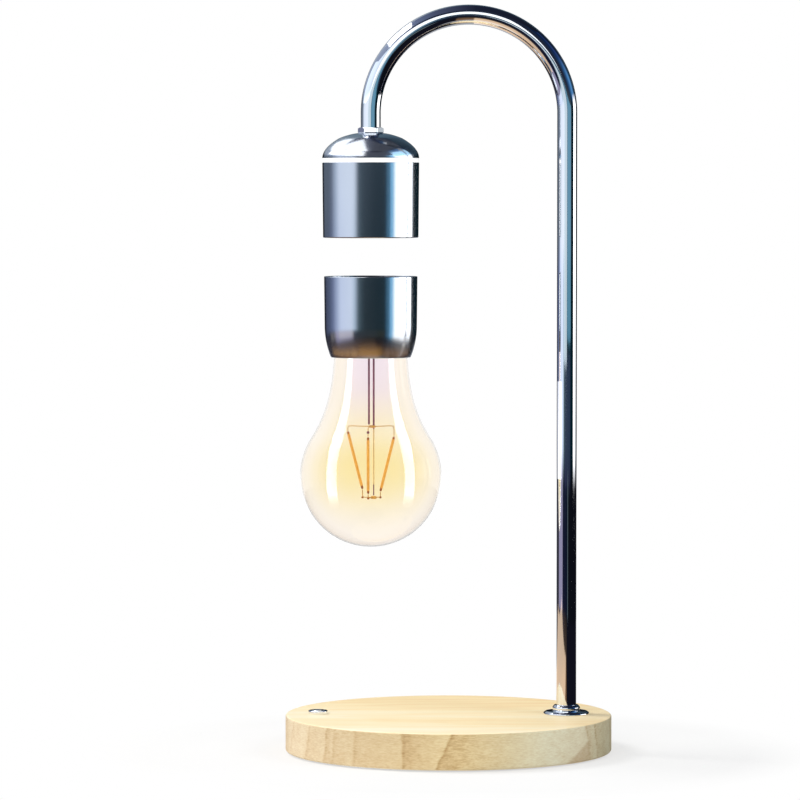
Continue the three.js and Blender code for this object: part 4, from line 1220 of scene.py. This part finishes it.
def glass_arc(name, side, rows):
    """Panels along an arc beside the bulb, so that their reflection keeps one place across the
    glass. Each row gives two angles along the arc in degrees, and the radiance between them."""
    lean, opening, reach, width = radians(30.6), radians(59), 0.22, 0.068
    centre = Vector((BULB_X, 0, CUP_Z - GLASS_DROP)) * MM
    axis = Vector((side * cos(lean), sin(lean), 0))
    front = Vector((side * sin(lean), -cos(lean), 0))

    def spot(turn):
        angle = radians(turn)
        across = front * cos(angle) + Vector((0, 0, sin(angle)))
        return centre + reach * (axis * cos(opening) + across * sin(opening))

    for number, (start, end, radiance) in enumerate(rows):
        a, b = spot(start), spot(end)
        middle = (a + b) / 2
        along = (b - a).normalized()
        away = (middle - centre).normalized()
        light = group_light("glass", f"{name}_{number}", middle, centre, width, (b - a).length * 1.01,
                            radiance, (0.84, 0.89, 1))
        light.rotation_euler = Matrix((along.cross(away), along, away)).transposed().to_euler()


for side, name in ((-1, "left"), (1, "right")):
    glass_arc(name, side, [
        (-47, -40, 3), (-40, -34, 9), (-34, -28, 20), (-28, -12, 40), (-12, 8, 40), (8, 32, 40),
        (32, 56, 40), (56, 80, 40),
    ])
upright_lights("glass", BULB_X, [("back", (96, 264), (-0.4, 2), 0.9)])
upright_lights("satin", BULB_X, [
    ("right", (61, 104), (-0.27, 0.72), 1.6),
    ("right_edge", (102, 118), (-0.1, 0.72), 1.6),
    ("spot", (58, 116), (0.72, 1.55), 1.4, (0.5, 0.78, 1)),
    ("spot_top", (58, 116), (1.55, 2.15), 0.3, (0.3, 0.55, 1)),
    ("blue_a", (38, 48), (-0.2, 0.9), 0.2, (0.2, 0.6, 1)),
    ("blue_b", (48, 57), (-0.3, 0.9), 0.85, (0.27, 0.65, 1)),
    ("blue_c", (57, 61), (-0.3, 0.9), 1.3, (0.74, 0.92, 1)),
    ("left", (-128, -16), (0.72, 2.1), 1.5),
    ("left_low", (-88, -44), (-0.17, 0.05), 0.31, (1, 0.92, 0.68)),
    ("left_edge", (-122, -88), (-0.12, 0.05), 0.14, (1, 0.9, 0.8)),
    ("low_front", (-40, 36), (-0.42, 0.08), 0.033, (0.8, 1, 0.76)),
    ("left_back", (-158, -128), (1.05, 2.1), 1.3),
    ("front", (-14, 60), (0.55, 1.9), 0.07, (0.9, 0.93, 1)),
])
level_light("satin", "above", (-860, -125, 2150), 1.18, 2.15, 1.5)
level_light("satin", "above_front", (480, 0, 2150), 1.46, 2.4, 0.065, (0.9, 0.93, 1))
level_light("satin", "floor", (BULB_X, -262, 2), 0.36, 0.12, 0.32, (1, 0.45, 0.03))

# Two rows of small warm panels on the floor, from the bulb's front round to its sides
GLOW_ROWS = {
    "left": (0.46, (1, 0.53, 0.16), [
        (-235, -190), (-320, -105), (-385, 0), (-435, 110), (-470, 230), (-490, 360),
    ]),
    "right": (0.3, (1, 0.52, 0.2), [
        (235, -185), (310, -110), (370, -25), (415, 75), (450, 190), (480, 330),
    ]),
}
for side, (radiance, color, spots) in GLOW_ROWS.items():
    for number, (x, y) in enumerate(spots):
        spot = (BULB_X + x, y, 2)
        level_light("satin", f"floor_{side}_{number}", spot, 0.115, 0.115, radiance, color)
upright_lights("chrome", 0, [
    ("left", (-36, 0), (0.14, 0.52), 0.72, (0.8, 0.93, 1)),
    ("shoulder", (-105, -30), (0.48, 1.15), 0.75, (0.85, 0.95, 1)),
    ("blue", (3, 44), (0.16, 0.42), 0.36, (0.27, 0.7, 1)),
    ("front", (-30, 16), (0.52, 1.22), 1.4, (0.92, 0.97, 1)),
])
facing_light("chrome", "high", (-890, 20, 1390), (ARCH_X, 0, 330), 1.9, 0.41, 2.5)
level_light("chrome", "floor", (-330, -50, 1), 0.66, 0.8, 0.62, (1, 0.74, 0.5))
upright_lights("chrome", ARM_X, [
    ("line", (9, 15), (-0.55, 0.05), 0.14, (0.7, 0.95, 1)),
    ("navy", (-25, 40), (0.04, 0.15), 0.05, (0.4, 0.42, 1)),
])
for number, turn in enumerate((radians(-114), radians(-78))):
    spot = (ARM_X + 40 * sin(turn), -40 * cos(turn), 160)
    facing_light("chrome", f"white_{number}", spot, (ARM_X, 0, 160), 0.026, 0.05, 0.7)
upright_lights("nut", BULB_X, [
    ("front", (-22, 22), (0.1, 0.6), 0.9),
    ("left", (-138, -102), (0.1, 0.6), 0.1, (0.62, 0.5, 1)),
    ("right", (102, 138), (0.1, 0.6), 0.6, (0.9, 0.95, 1)),
])
upright_lights("button", BUTTON_X, [("front", (-85, 70), (0.1, 1.7), 0.95)])
level_light("button", "above", (BUTTON_X, 0, 2150), 3, 3, 1.1)


# Camera, fitted to the photograph
camera_data = bpy.data.cameras.new("camera")
camera_data.sensor_width = 36
camera_data.lens = 195.67
camera_data.clip_end = 50
camera = add_object("camera", camera_data)
camera.location = (-0.0244, -2.1803, 0.2791)
camera.rotation_euler = (radians(87.322), 0, 0)
scene.camera = camera
scene.view_settings.view_transform = "Standard"
